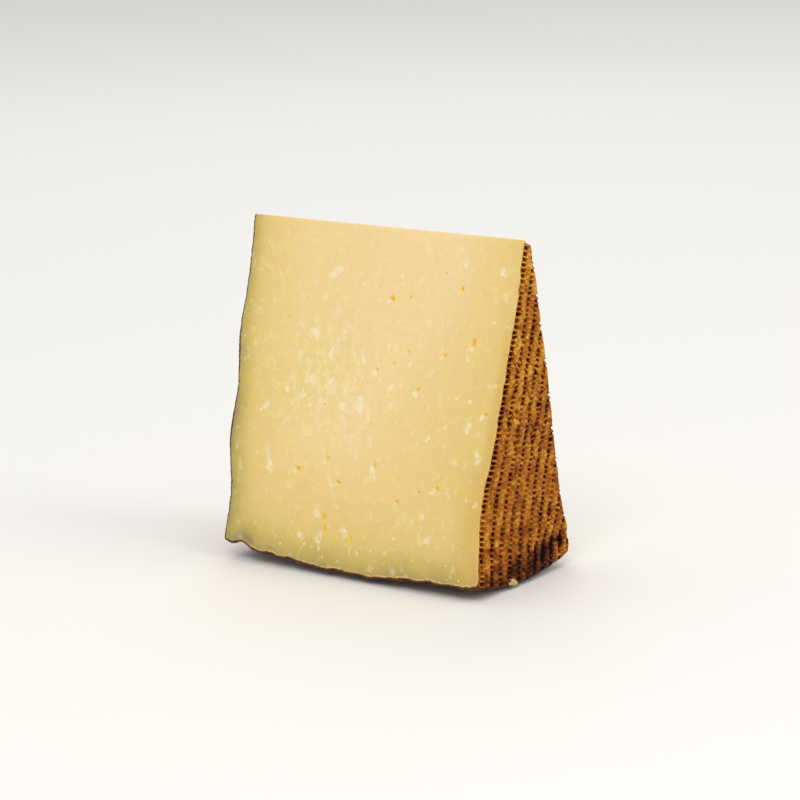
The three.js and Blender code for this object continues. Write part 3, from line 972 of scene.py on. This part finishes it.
def ragged_ball(bm: BMesh, place: Matrix, seed: int, amount: float,
                fineness: int, flat: bool = False) -> None:
    """Adds a ball with an uneven surface, the same one each run.

    Args:
        bm: The mesh that gets the ball.
        place: Takes a ball of diameter 1 to its size and place.
        seed: Which ball it is.
        amount: How uneven it is, as a share of its size.
        fineness: How often the ball's faces are divided.
        flat: Whether it is uneven in outline only, and not along its own Y.
    """
    verts = bmesh.ops.create_icosphere(bm, subdivisions=fineness, radius=0.5)["verts"]
    points = np.array([vert.co for vert in verts])
    spots = (4.5 if flat else 3.0) * points + np.array((7.3, 3.1, 5.7)) * seed
    if flat:
        spots[:, 1] = 0.0
    a, b = spots[:, 0] + spots[:, 1], spots[:, 2] - spots[:, 1]
    bumps = 1.0 + amount * rough_lumps(a, b, 41.0 + seed)
    for vert, bump in zip(verts, bumps):
        vert.co.xz *= bump
        if not flat:
            vert.co.y *= bump
    bmesh.ops.transform(bm, matrix=place, verts=verts)


def finish_mesh(bm: BMesh, name: str, zone: Zone) -> Object:
    """Makes an object of a mesh in the wheel's frame, and frees the bmesh.

    Args:
        bm: The mesh, in millimetres in the wheel's frame.
        name: What to call the object.
        zone: The surface that all its faces belong to.

    Returns:
        The object, its mesh in metres in the part's frame.
    """
    bmesh.ops.transform(bm, matrix=CUTS.wheel_to_part, verts=bm.verts)
    for face in bm.faces:
        face.material_index = zone
    mesh = bpy.data.meshes.new(name)
    bm.to_mesh(mesh)
    bm.free()
    shape = bpy.data.objects.new(name, mesh)
    bpy.context.scene.collection.objects.link(shape)
    return shape


def work_on(shape: Object, tool: Object, operation: str) -> None:
    """Cuts or joins a shape with another one, which it then removes.

    Args:
        shape: The closed shape that stays.
        tool: The closed shape that it is worked on with.
        operation: INTERSECT, DIFFERENCE or UNION.
    """
    step = shape.modifiers.new("work", "BOOLEAN")
    step.operation = operation
    step.object = tool
    step.solver = "MANIFOLD"
    worked = shape.evaluated_get(bpy.context.evaluated_depsgraph_get())
    mesh = bpy.data.meshes.new_from_object(worked)
    shape.modifiers.clear()
    before = shape.data
    shape.data = mesh
    bpy.data.meshes.remove(before)
    used = tool.data
    bpy.data.objects.remove(tool)
    bpy.data.meshes.remove(used)


def srgb(code: str) -> tuple[float, float, float, float]:
    """The linear colour of an sRGB hex code such as "#F0D391"."""
    parts = [int(code[k : k + 2], 16) / 255 for k in (1, 3, 5)]
    linear = [p / 12.92 if p <= 0.04045 else ((p + 0.055) / 1.055) ** 2.4 for p in parts]
    return (*linear, 1.0)


def span(value: NodeSocket, low: float, high: float, least: float = 0.0,
         most: float = 1.0) -> dict[int, Any]:
    """A range node's inputs, which take a value between low and high to least and most."""
    return {0: value, 1: low, 2: high, 3: least, 4: most}


def set_ramp(colour: NodeSocket, stops: tuple[tuple[float, str], ...]) -> NodeSocket:
    """Gives a colour ramp its stops, as places from 0 to 1 with sRGB hex codes."""
    elements = colour.node.color_ramp.elements
    while len(elements) > 1:
        elements.remove(elements[-1])
    elements[0].position, elements[0].color = stops[0][0], srgb(stops[0][1])
    for place, code in stops[1:]:
        elements.new(place).color = srgb(code)
    return colour


class Nodes:
    """The node tree of a new material."""

    def __init__(self, name: str) -> None:
        """Starts an empty tree, for a material of this name."""
        self.material = bpy.data.materials.new(name)
        self.material.use_nodes = True
        self.tree = self.material.node_tree
        self.tree.nodes.clear()

    def add(self, kind: str, inputs: dict[Any, Any] | None = None, out: Any = 0,
            **settings: Any) -> Any:
        """Adds a node with its settings, and fills or links its inputs.

        Args:
            kind: The node's type name, without the "ShaderNode" before it.
            inputs: For each input, by name or number, a value or the output that feeds it.
            out: The output that is wanted, by name or number.
            **settings: Properties of the node itself.

        Returns:
            That output, or None if the node has none.
        """
        node = self.tree.nodes.new("ShaderNode" + kind)
        for name, value in settings.items():
            setattr(node, name, value)
        for key, value in (inputs or {}).items():
            if isinstance(value, NodeSocket):
                self.tree.links.new(value, node.inputs[key])
            else:
                node.inputs[key].default_value = value
        return node.outputs[out] if len(node.outputs) else None

    def spot(self) -> NodeSocket:
        """Where the shaded point is in the part's frame, in millimetres."""
        place = self.add("TexCoord", out="Object")
        return self.add("VectorMath", {0: place, 1: (1 / MM,) * 3}, operation="MULTIPLY")

    def shade(self, inputs: dict[str, Any]) -> Material:
        """Adds the surface's shader and the output, and hands over the material."""
        shader = self.add("BsdfPrincipled", {"IOR": 1.45, **inputs})
        self.add("OutputMaterial", {"Surface": shader})
        return self.material


@dataclass(frozen=True)
class PasteFinish:
    """Hard aged cheese paste as a knife leaves it: waxy, faintly oily and slightly see-through,
    darker and greyer where it dried under the rind, with white crystals and fine drag lines.
    The dried band's darkening, wider at the left face and towards the foot, is partly painted
    shade.

    Attributes:
        roughness: Of the oily cut surface.
        glow: How much of the light passes into the paste.
        glow_depth: How far the light spreads inside it.
        drying_and_shade: Colours from right under the rind, over its reach, to the inner paste,
        which are partly painted shade.
        tints: What the paste is tinted with by its oiled, buttery and chalky shares.
        flake: The colour of torn paste.
        crystal: The colour of the crystals.
        lip: The colour of the line inside the skin, where the rind is cut, which is partly a
        painted highlight.
        skin: The colour of the rind's skin, where it is cut.
        speck_spacing: Between the crystals' places, few of which hold one.
        speck_size: The radius of the largest crystals.
    """

    roughness: float = 0.42
    glow: float = 0.35
    glow_depth: float = 2.2
    drying_and_shade: tuple[tuple[float, str], ...] = (
        (0.0, "#A28E5A"), (0.035, "#B5A25D"), (0.07, "#C3AD5F"), (0.11, "#CEB663"),
        (0.155, "#D8BF6C"), (0.20, "#DFC576"), (0.27, "#E5CA7C"), (0.42, "#EACE84"),
        (0.65, "#EED18B"), (0.85, "#F1D597"), (1.0, "#F3D79D"),
    )
    tints: tuple[tuple[str, str], ...] = (
        ("oiled", "#DAB05C"), ("buttery", "#E6D180"), ("chalky", "#D8D2B8"),
    )
    flake: str = "#FBF0D6"
    crystal: str = "#FBF1CF"
    lip: str = "#E6BE74"
    skin: str = "#4A2710"
    speck_spacing: float = 2.0
    speck_size: float = 0.40

    def build(self) -> Material:
        """The material."""
        nodes = Nodes("cut_cheese_paste")
        spot = nodes.spot()
        colour = self.dried_and_shaded_colour(nodes, spot)
        colour = self.with_flakes(nodes, spot, colour)
        colour = self.with_specks(nodes, spot, colour)
        return nodes.shade({
            "Base Color": self.with_skin(nodes, spot, colour),
            "Roughness": self.roughness,
            "Subsurface Weight": self.glow,
            "Subsurface Radius": (1.0, 0.62, 0.28),
            "Subsurface Scale": self.glow_depth * MM,
            "Normal": self.grain(nodes, spot),
        })

    def dried_and_shaded_colour(self, nodes: Nodes, spot: NodeSocket) -> NodeSocket:
        """The paste's colour by how dry it is, which partly paints shade, a little mottled, with its
        tints.
        """
        dry = nodes.add("Attribute", out="Fac", attribute_name="inward")
        mottle = nodes.add("TexNoise", {"Vector": spot, "Scale": 0.16, "Detail": 4.0})
        sway = nodes.add("Math", {0: mottle, 1: 0.12, 2: -0.05}, operation="MULTIPLY_ADD")
        reach = nodes.add("Math", {0: dry, 1: 0.25, 2: sway}, operation="MULTIPLY_ADD")
        colour = set_ramp(nodes.add("ValToRGB", {0: reach}), self.drying_and_shade)
        for name, code in self.tints:
            share = nodes.add("Attribute", out="Fac", attribute_name=name)
            colour = nodes.add("Mix", {0: share, 6: colour, 7: srgb(code)}, 2, data_type="RGBA")
        fine = {"Vector": spot, "Scale": 0.55, "Detail": 5.0, "Roughness": 0.62}
        light = nodes.add("MapRange", span(nodes.add("TexNoise", fine), 0.25, 0.75, 0.966, 1.034))
        return nodes.add("VectorMath", {0: colour, "Scale": light}, operation="SCALE")

    def with_flakes(self, nodes: Nodes, spot: NodeSocket, colour: NodeSocket) -> NodeSocket:
        """Makes scars paler towards their middle, and other torn spots a little paler."""
        deep = nodes.add("Attribute", out="Fac", attribute_name="torn")
        torn = nodes.add("MapRange", span(deep, 0.0, 0.06))
        facets = nodes.add("TexNoise", {"Vector": spot, "Scale": 0.7, "Detail": 4.0})
        shown = nodes.add("MapRange", span(facets, 0.40, 0.58, 0.22, 0.64))
        torn = nodes.add("Math", {0: torn, 1: shown}, operation="MULTIPLY")
        upright = nodes.add("VectorMath", {0: spot, 1: (1.0, 1.0, 0.75)}, operation="MULTIPLY")
        bent = {"Vector": upright, "Scale": 0.42, "Detail": 3.0, "Distortion": 0.35}
        bent = nodes.add("TexNoise", bent)
        crowd = nodes.add("Attribute", out="Fac", attribute_name="flaky")
        level = nodes.add("Math", {0: crowd, 1: 0.13, 2: bent}, operation="MULTIPLY_ADD")
        faint = nodes.add("MapRange", span(level, 0.60, 0.76, 0.0, 0.34))
        share = nodes.add("Math", {0: torn, 1: faint}, operation="MAXIMUM")
        mixed = {0: share, 6: colour, 7: srgb(self.flake)}
        return nodes.add("Mix", mixed, 2, data_type="RGBA")

    def with_specks(self, nodes: Nodes, spot: NodeSocket, colour: NodeSocket) -> NodeSocket:
        """Adds the small white crystals, more of them near the rind."""
        away = nodes.add("TexVoronoi", {"Vector": spot, "Scale": 1 / self.speck_spacing})
        drawn = nodes.add("SeparateColor", {0: away.node.outputs["Color"]})
        skin = nodes.add("Attribute", out="Fac", attribute_name="skin")
        more = nodes.add("MapRange", span(skin, 1.0, 7.0, 0.12, 0.0))
        drawn = nodes.add("Math", {0: drawn, 1: more}, operation="ADD")
        largest = self.speck_size / self.speck_spacing
        size = nodes.add("MapRange", span(drawn, 0.50, 1.0, 0.0, largest))
        inside = nodes.add("Math", {0: size, 1: away}, operation="SUBTRACT")
        share = nodes.add("MapRange", span(inside, 0.0, 0.10, 0.0, 0.62))
        mixed = {0: share, 6: colour, 7: srgb(self.crystal)}
        return nodes.add("Mix", mixed, 2, data_type="RGBA")

    def with_skin(self, nodes: Nodes, spot: NodeSocket, colour: NodeSocket) -> NodeSocket:
        """Adds the rind in section: a thin brown skin, and a golden line inside it except on
        the left. The golden line is the rind's inner layer with a painted highlight along the
        edge."""
        away = nodes.add("Attribute", out="Fac", attribute_name="skin")
        uneven = nodes.add("TexNoise", {"Vector": spot, "Scale": 1.2, "Detail": 4.0})
        depth = nodes.add("Math", {0: uneven, 1: -0.7, 2: away}, operation="MULTIPLY_ADD")
        # Painted highlight in part: the golden line is the rind's inner layer, made brighter along
        # the edge.
        golden = nodes.add("MapRange", span(depth, 0.42, 0.68, 1.0, 0.0))
        broken = nodes.add("TexNoise", {"Vector": spot, "Scale": 0.35, "Detail": 2.0})
        shown = nodes.add("MapRange", span(broken, 0.42, 0.58, 0.30, 0.95))
        x = nodes.add("SeparateXYZ", {0: spot})
        inner = nodes.add("MapRange", span(x, -41.0, -33.0))
        for share in (shown, inner):
            golden = nodes.add("Math", {0: golden, 1: share}, operation="MULTIPLY")
        brown = nodes.add("MapRange", span(depth, 0.08, 0.24, 1.0, 0.0))
        for share, code in ((golden, self.lip), (brown, self.skin)):
            colour = nodes.add("Mix", {0: share, 6: colour, 7: srgb(code)}, 2, data_type="RGBA")
        return colour

    def grain(self, nodes: Nodes, spot: NodeSocket) -> NodeSocket:
        """The fine relief: granular paste and the knife's drag lines, which run down the cut."""
        stretched = nodes.add("VectorMath", {0: spot, 1: (1.0, 0.06, 0.06)}, operation="MULTIPLY")
        lines = nodes.add("TexNoise", {"Vector": stretched, "Scale": 1.1, "Detail": 3.0})
        grains = {"Vector": spot, "Scale": 1.4, "Detail": 6.0, "Roughness": 0.6}
        grains = nodes.add("TexNoise", grains)
        both = nodes.add("Math", {0: lines, 1: 0.5, 2: grains}, operation="MULTIPLY_ADD")
        return nodes.add("Bump", {"Height": both, "Strength": 0.5, "Distance": 0.15 * MM})


@dataclass(frozen=True)
class EyeFinish:
    """The lining of an eye: the same paste with a moist orange skin, deepest in its bottom,
    where the deeper orange is partly painted shade.

    Attributes:
        by_depth: Colours from the eye's edge down to its bottom, by depth in millimetres,
        darker towards the bottom partly as painted shade.
        roughness: Of the moist skin.
    """

    # The colours darken towards the bottom partly as painted shade.
    by_depth: tuple[tuple[float, str], ...] = (
        (0.0, "#F3D98C"), (0.06, "#F0C850"), (0.24, "#EBB92E"),
    )
    roughness: float = 0.35

    def build(self) -> Material:
        """The material."""
        nodes = Nodes("moist_eye_lining")
        deep = nodes.add("Attribute", out="Fac", attribute_name="hollow")
        return nodes.shade({
            "Base Color": set_ramp(nodes.add("ValToRGB", {0: deep}), self.by_depth),
            "Roughness": self.roughness,
            "Subsurface Weight": 0.15,
            "Subsurface Radius": (1.0, 0.8, 0.3),
            "Subsurface Scale": 1.0 * MM,
        })


@dataclass(frozen=True)
class RindFinish:
    """Natural brushed rind: a dry skin, oiled and aged to golden brown, pale where the mat's
    ribs were rubbed, near black in its pits, and stained darker towards the foot. The black of
    the pits is partly painted shade, and the tone and its noise also carry painted highlights
    and glints.

    Attributes:
        roughness: Of the dry skin.
        sheen: How strongly it reflects, which is far less than a wet skin would.
        by_tone: Colours from the darkest tone to the palest.
    """

    roughness: float = 0.45
    sheen: float = 0.06
    by_tone: tuple[tuple[float, str], ...] = (
        (0.0, "#1A0602"), (0.12, "#391407"), (0.28, "#672E0C"), (0.44, "#8E4B10"),
        (0.58, "#AC6518"), (0.72, "#C88427"), (0.86, "#DDA33E"), (1.0, "#EDC167"),
    )

    def build(self) -> Material:
        """The material."""
        nodes = Nodes("oiled_natural_rind")
        spot = nodes.spot()
        level = nodes.add("Attribute", out="Fac", attribute_name="tone")
        woven = nodes.add("VectorMath", {0: spot, 1: (1.0, 0.4, 1.6)}, operation="MULTIPLY")
        grime_and_glints = {"Vector": spot, "Scale": 2.2, "Detail": 4.0, "Roughness": 0.8}
        streaks = {"Vector": woven, "Scale": 1.3, "Detail": 3.0, "Roughness": 0.6}
        # The grime noise is partly real dark spots and partly painted glints: pale specks that stand
        # in for the oily skin's highlights.
        for noise, amount in ((grime_and_glints, 0.90), (streaks, 0.6)):
            dirt_and_glints = nodes.add("TexNoise", noise)
            level = nodes.add("Math", {0: dirt_and_glints, 1: amount, 2: level}, operation="MULTIPLY_ADD")
        level = nodes.add("Math", {0: level, 1: -0.75}, operation="ADD")
        return nodes.shade({
            "Base Color": set_ramp(nodes.add("ValToRGB", {0: level}), self.by_tone),
            "Roughness": self.roughness,
            "Specular IOR Level": self.sheen,
            "Subsurface Weight": 0.06,
            "Subsurface Radius": (1.0, 0.4, 0.12),
            "Subsurface Scale": 0.6 * MM,
            "Normal": self.grain(nodes, spot),
        })

    def grain(self, nodes: Nodes, spot: NodeSocket) -> NodeSocket:
        """The fine relief of the dried skin."""
        fine = {"Vector": spot, "Scale": 1.5, "Detail": 6.0, "Roughness": 0.7}
        fine = nodes.add("TexNoise", fine)
        return nodes.add("Bump", {"Height": fine, "Strength": 0.8, "Distance": 0.5 * MM})


@dataclass(frozen=True)
class CheeseWedge:
    """The whole wedge: the wheel's block between the cuts, with its eyes, scars and finishes.

    Attributes:
        rind: The printed skin.
        knife: The cuts.
        eyes: The holes in the paste.
        scars: The flake scars of the cuts.
        crumb: The crumb on the rind.
        dark_edge: How far below the axis the paste is darkest at the left face.
        drying_and_shade: For the left face, the right one and the rim, how moist the paste is right
        under it at the top and at the foot, where 0 is driest, how far in it is dried at
        the top and at the foot, and how much thinner than usual the skin is. The wide reach at
        the left face and at the foot partly paints shade.
    """

    rind: Rind = field(default_factory=Rind)
    knife: KnifeWork = field(default_factory=KnifeWork)
    eyes: Eyes = field(default_factory=Eyes)
    scars: FlakeScars = field(default_factory=FlakeScars)
    crumb: Crumb = field(default_factory=Crumb)
    dark_edge: tuple[float, ...] = (40.0, 63.0)
    # Partly painted shade: the wide reach at the left face and at the foot darkens the paste's lower
    # left.
    drying_and_shade: tuple[tuple[float, ...], ...] = (
        (0.08, -0.05, 5.0, 8.5, 0.15), (0.85, 0.60, 1.0, 7.0, 0.6), (0.0, 0.0, 10.5, 10.5, 0.0),
    )

    def build(self) -> Object:
        """The finished piece."""
        wedge = self.rind.build()
        paste = PasteFinish().build()
        finishes = (paste, RindFinish().build(), EyeFinish().build(), paste)
        tools = (
            (self.knife.build(), "INTERSECT"),
            (self.scars.build(self.eyes), "DIFFERENCE"),
            (self.eyes.build(), "DIFFERENCE"),
            (self.crumb.build(), "UNION"),
        )
        for shape in (wedge, *(tool for tool, _ in tools)):
            for finish in finishes:
                shape.data.materials.append(finish)
        for tool, operation in tools:
            work_on(wedge, tool, operation)
        wedge.name = wedge.data.name = "manchego_wedge"
        self.smooth(wedge.data)
        self.measure(wedge.data)
        return wedge

    def smooth(self, mesh: Mesh) -> None:
        """Shades the faces smooth, with a crisp edge where two surfaces meet."""
        bm = bmesh.new()
        bm.from_mesh(mesh)
        self.triangulate(bm)
        for face in bm.faces:
            face.smooth = True
        for edge in bm.edges:
            zones = {face.material_index for face in edge.link_faces}
            if len(zones) > 1 or edge.calc_face_angle(0.0) > math.radians(60.0):
                edge.smooth = False
        open_edges = sum(1 for edge in bm.edges if len(edge.link_faces) != 2)
        LOG.info("%d triangles, %d open edges", len(bm.faces), open_edges)
        bm.to_mesh(mesh)
        bm.free()

    def triangulate(self, bm: BMesh) -> None:
        """Divides the faces into triangles. Two faces that have two corners in common would
        both be divided along the line between them, so those first get a point in the middle."""
        trial = bm.copy()
        bmesh.ops.triangulate(trial, faces=trial.faces)
        bm.verts.ensure_lookup_table()
        for edge in trial.edges:
            if len(edge.link_faces) > 2:
                first, second = (bm.verts[vert.index] for vert in edge.verts)
                shared = [face for face in first.link_faces if second in face.verts]
                bmesh.ops.poke(bm, faces=shared)
                bm.verts.ensure_lookup_table()
        trial.free()
        bmesh.ops.triangulate(bm, faces=bm.faces)

    def measure(self, mesh: Mesh) -> None:
        """Stores, for the finishes, what each point of the mesh is like.

        "tone" is how pale the rind is, "inward" how far inside the paste a point is, as a share
        of the dried layer's reach there, "oiled" how golden the rind's oil has made the paste,
        "buttery" how much yellower and "chalky" how much greyer than usual it is, "flaky" how
        readily it flaked under the knife, "skin" a point's distance from the rind, "torn" how
        deep it lies in a scar and "hollow" how deep in an eye, all three in millimetres. The tone
        holds painted shade in the pits and creases and painted highlights on the rungs, and the
        dried layer's reach partly paints shade towards the foot and the left face.
        """
        count = len(mesh.vertices)
        flat = np.empty(3 * count)
        mesh.vertices.foreach_get("co", flat)
        back = np.array(CUTS.wheel_to_part.inverted())
        points = flat.reshape(-1, 3) @ back[:3, :3].T + back[:3, 3]
        zones = self.zones_of(mesh)
        inward, skin = self.inward_shares(points, zones)
        behind = np.minimum(np.abs(CUTS.behind_near(points)), np.abs(CUTS.behind_far(points)))
        values = {
            "tone": self.tones(points),
            "torn": np.where(zones[Zone.BROKEN] & ~zones[Zone.PASTE], behind, 0.0),
            "inward": inward,
            "oiled": self.oiled_shares(points),
            "buttery": self.buttery_shares(points),
            "chalky": self.chalky_shares(points),
            "flaky": self.flaky_shares(points),
            "skin": skin,
            "hollow": behind,
        }
        for name, numbers in values.items():
            layer = mesh.attributes.new(name, "FLOAT", "POINT")
            layer.data.foreach_set("value", numbers.astype(np.float32))

    def zones_of(self, mesh: Mesh) -> dict[Zone, Array]:
        """For each zone, whether each point of the mesh is on one of its faces."""
        loops = np.empty(len(mesh.loops), np.int32)
        mesh.loops.foreach_get("vertex_index", loops)
        slots = np.empty(len(mesh.polygons), np.int32)
        mesh.polygons.foreach_get("material_index", slots)
        corners = loops.reshape(-1, 3)
        found = {}
        for zone in Zone:
            found[zone] = np.zeros(len(mesh.vertices), bool)
            found[zone][corners[slots == zone].ravel()] = True
        return found

    def tones(self, points: Array) -> Array:
        """How pale points of the rind are."""
        x, across, down = points[:, 0], points[:, 1], -points[:, 2]
        distance = np.hypot(across, down)
        tones = np.zeros(len(points))
        for side in (Wheel.left, Wheel.right):
            mine = x * side.sign > 0.0
            out = np.abs(x)
            corner_x = side.half_height(side.corner_radius)
            to_rim = side.rim_distance(np.minimum(out, corner_x)) - distance
            to_face = side.half_height(distance, across) - out
            on_rim = mine & (to_rim < to_face)
            on_face = mine & ~on_rim
            around = self.rind.around(across[on_rim], distance[on_rim])
            tones[on_rim] = self.rind.rim_print(around, out[on_rim])[1]
            tones[on_face] = self.rind.face_print(across[on_face], down[on_face], side)[1]
        return tones

    def oiled_shares(self, points: Array) -> Array:
        """How golden the paste is: the rind's oil has soaked in low down at the right face."""
        distance = np.hypot(points[:, 1], points[:, 2])
        from_face = Wheel.right.half_height(distance, points[:, 1]) - points[:, 0]
        narrow = 0.68 * smooth_step(4.0, 0.6, from_face) * smooth_step(18.0, 34.0, distance)
        wide = 0.60 * smooth_step(12.0, 0.0, from_face) * smooth_step(52.0, 80.0, distance)
        return np.maximum(narrow * smooth_step(95.0, 75.0, distance), wide)

    def chalky_shares(self, points: Array) -> Array:
        """How chalky the paste is: in its upper part, right of the middle."""
        beside = np.exp(-(((points[:, 0] - 24.0) / 10.0) ** 2))
        return 0.06 * beside * smooth_step(-66.0, -40.0, points[:, 2])

    def buttery_shares(self, points: Array) -> Array:
        """How yellow the paste is: left of the middle, most of all halfway down."""
        beside = np.exp(-(((points[:, 0] + 21.0) / 16.0) ** 2))
        halfway = np.exp(-(((points[:, 2] + 44.0) / 16.0) ** 2))
        return beside * (0.22 + 0.32 * halfway) * smooth_step(-74.0, -60.0, points[:, 2])

    def flaky_shares(self, points: Array) -> Array:
        """How flaky the paste is: most of all left of the middle, below halfway down the cuts."""
        away = np.hypot((points[:, 0] + 14.0) / 20.0, (points[:, 2] + 49.0) / 27.0)
        return np.exp(-(away**2))

    def inward_shares(self, points: Array,
                      zones: dict[Zone, Array]) -> tuple[Array, Array]:
        """How far inside the paste points are.

        Args:
            points: All the mesh's points, in the wheel's frame.
            zones: For each zone, whether a point is on one of its faces.

        Returns:
            For each point, a share of the dried layer's reach there, and the plain distance
            from the rind.
        """
        distance = np.hypot(points[:, 1], points[:, 2])
        on_rim = distance > Wheel.left.corner_radius - 0.5
        parts = (points[:, 0] < 0) & ~on_rim, (points[:, 0] > 0) & ~on_rim, on_rim
        shares = np.zeros(len(points))
        nearest = np.full(len(points), 99.0)
        inner = np.flatnonzero(zones[Zone.PASTE] | zones[Zone.EYE] | zones[Zone.BROKEN])
        lower = smooth_step(10.0, 95.0, distance)
        dark = sum(np.exp(-(((distance - place) / 5.5) ** 2)) for place in self.dark_edge)
        dark = np.where(parts[0], dark, 0.0)
        # Painted shade in part: the dried layer reaches farther at the left face and towards the
        # foot, which darkens the paste's lower left.
        for part, (dry, dry_foot, far_in, far_in_foot, thinner) in zip(parts, self.drying_and_shade):
            start = blend(dry, dry_foot, lower) - 0.20 * dark
            reach = blend(far_in, far_in_foot, lower)
            skin = np.flatnonzero(zones[Zone.RIND] & part)
            tree = KDTree(len(skin))
            for index in skin:
                tree.insert(points[index], int(index))
            tree.balance()
            for index in inner:
                away = tree.find(points[index])[2]
                nearest[index] = min(nearest[index], away + thinner - 0.25 * dark[index])
                moist = start[index] + (1 - start[index]) * away / reach[index]
                shares[index] += math.exp(-4.0 * moist)
        return np.clip(-np.log(np.maximum(shares, 1e-9)) / 4.0, 0.0, 4.0), nearest


@dataclass(frozen=True)
class Studio:
    """A plain pale table under soft light, and the camera at the photo's viewing angle.

    Attributes:
        azimuth: The camera's turn from looking along +Y, in degrees.
        elevation: Its height above the horizon, in degrees.
        roll: Its turn round its own line of sight, in degrees.
        distance: From the point it aims at, in millimetres.
        aim: That point.
        focal: The lens's focal length, in millimetres on a sensor 36 wide.
    """

    azimuth: float = 36.63
    elevation: float = 12.90
    roll: float = -1.45
    distance: float = 871.1
    aim: tuple[float, float, float] = (2.94, 1.32, 48.52)
    focal: float = 135.0

    def build(self) -> None:
        """The floor, the lights and the camera."""
        self.floor()
        self.lights()
        self.camera()
        scene = bpy.context.scene
        scene.view_settings.view_transform = "Standard"

    def floor(self) -> None:
        """A large pale table top, level with the bottom of the wedge."""
        bm = bmesh.new()
        bmesh.ops.create_grid(bm, x_segments=1, y_segments=1, size=3.0)
        mesh = bpy.data.meshes.new("table_top")
        bm.to_mesh(mesh)
        bm.free()
        table = bpy.data.objects.new("table_top", mesh)
        bpy.context.scene.collection.objects.link(table)
        material = bpy.data.materials.new("matt_white_table")
        material.use_nodes = True
        shader = material.node_tree.nodes["Principled BSDF"]
        shader.inputs["Base Color"].default_value = srgb("#F4F3F0")
        shader.inputs["Roughness"].default_value = 0.8
        shader.inputs["Specular IOR Level"].default_value = 0.1
        mesh.materials.append(material)

    def lights(self) -> None:
        """A wide soft light from the upper left, a weaker one from the right, and the sky."""
        for name, azimuth, elevation, size, power, colour in (
            ("key_light", 25.0, 48.0, 0.7, 5.4, "#FFFBF4"),
            ("fill_light", 100.0, 35.0, 0.7, 3.6, "#FFFDFA"),
            ("back_light", 215.0, 45.0, 0.9, 2.6, "#FFFDFA"),
        ):
            lamp = bpy.data.lights.new(name, "AREA")
            lamp.shape, lamp.size, lamp.energy = "DISK", size, power
            lamp.color = srgb(colour)[:3]
            light = bpy.data.objects.new(name, lamp)
            bpy.context.scene.collection.objects.link(light)
            back = self.direction(azimuth, elevation)
            light.location = Vector((0, 0, 0.05)) + back * 1.4
            light.rotation_euler = back.to_track_quat("Z", "Y").to_euler()
        world = bpy.data.worlds.new("soft_room")
        world.use_nodes = True
        world.node_tree.nodes["Background"].inputs["Color"].default_value = srgb("#FFFFFF")
        world.node_tree.nodes["Background"].inputs["Strength"].default_value = 0.70
        bpy.context.scene.world = world

    def direction(self, azimuth: float, elevation: float) -> Vector:
        """The direction from the object towards an azimuth and elevation in degrees."""
        a, e = math.radians(azimuth), math.radians(elevation)
        return Vector((math.sin(a) * math.cos(e), -math.cos(a) * math.cos(e), math.sin(e)))

    def camera(self) -> None:
        """The camera that takes the photo's view."""
        lens = bpy.data.cameras.new("camera")
        lens.lens, lens.sensor_width = self.focal, 36.0
        camera = bpy.data.objects.new("camera", lens)
        bpy.context.scene.collection.objects.link(camera)
        back = self.direction(self.azimuth, self.elevation)
        right = (-back).cross(Vector((0, 0, 1))).normalized()
        turn = Matrix.Rotation(math.radians(self.roll), 3, back)
        right = turn @ right
        up = back.cross(right)
        pose = Matrix((right, up, back)).transposed().to_4x4()
        pose.translation = (Vector(self.aim) + back * self.distance) * MM
        camera.matrix_world = pose
        bpy.context.scene.camera = camera


def main() -> None:
    """Builds the wedge and its studio."""
    logging.basicConfig(level=logging.INFO, format="%(name)s: %(message)s")
    wedge = CheeseWedge().build()
    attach(wedge, BODY)
    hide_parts(NODE)
    Studio().build()
    LOG.info("%s has %d points", wedge.name, len(wedge.data.vertices))
    bpy.context.view_layer.update()


if __name__ == "__main__":
    main()
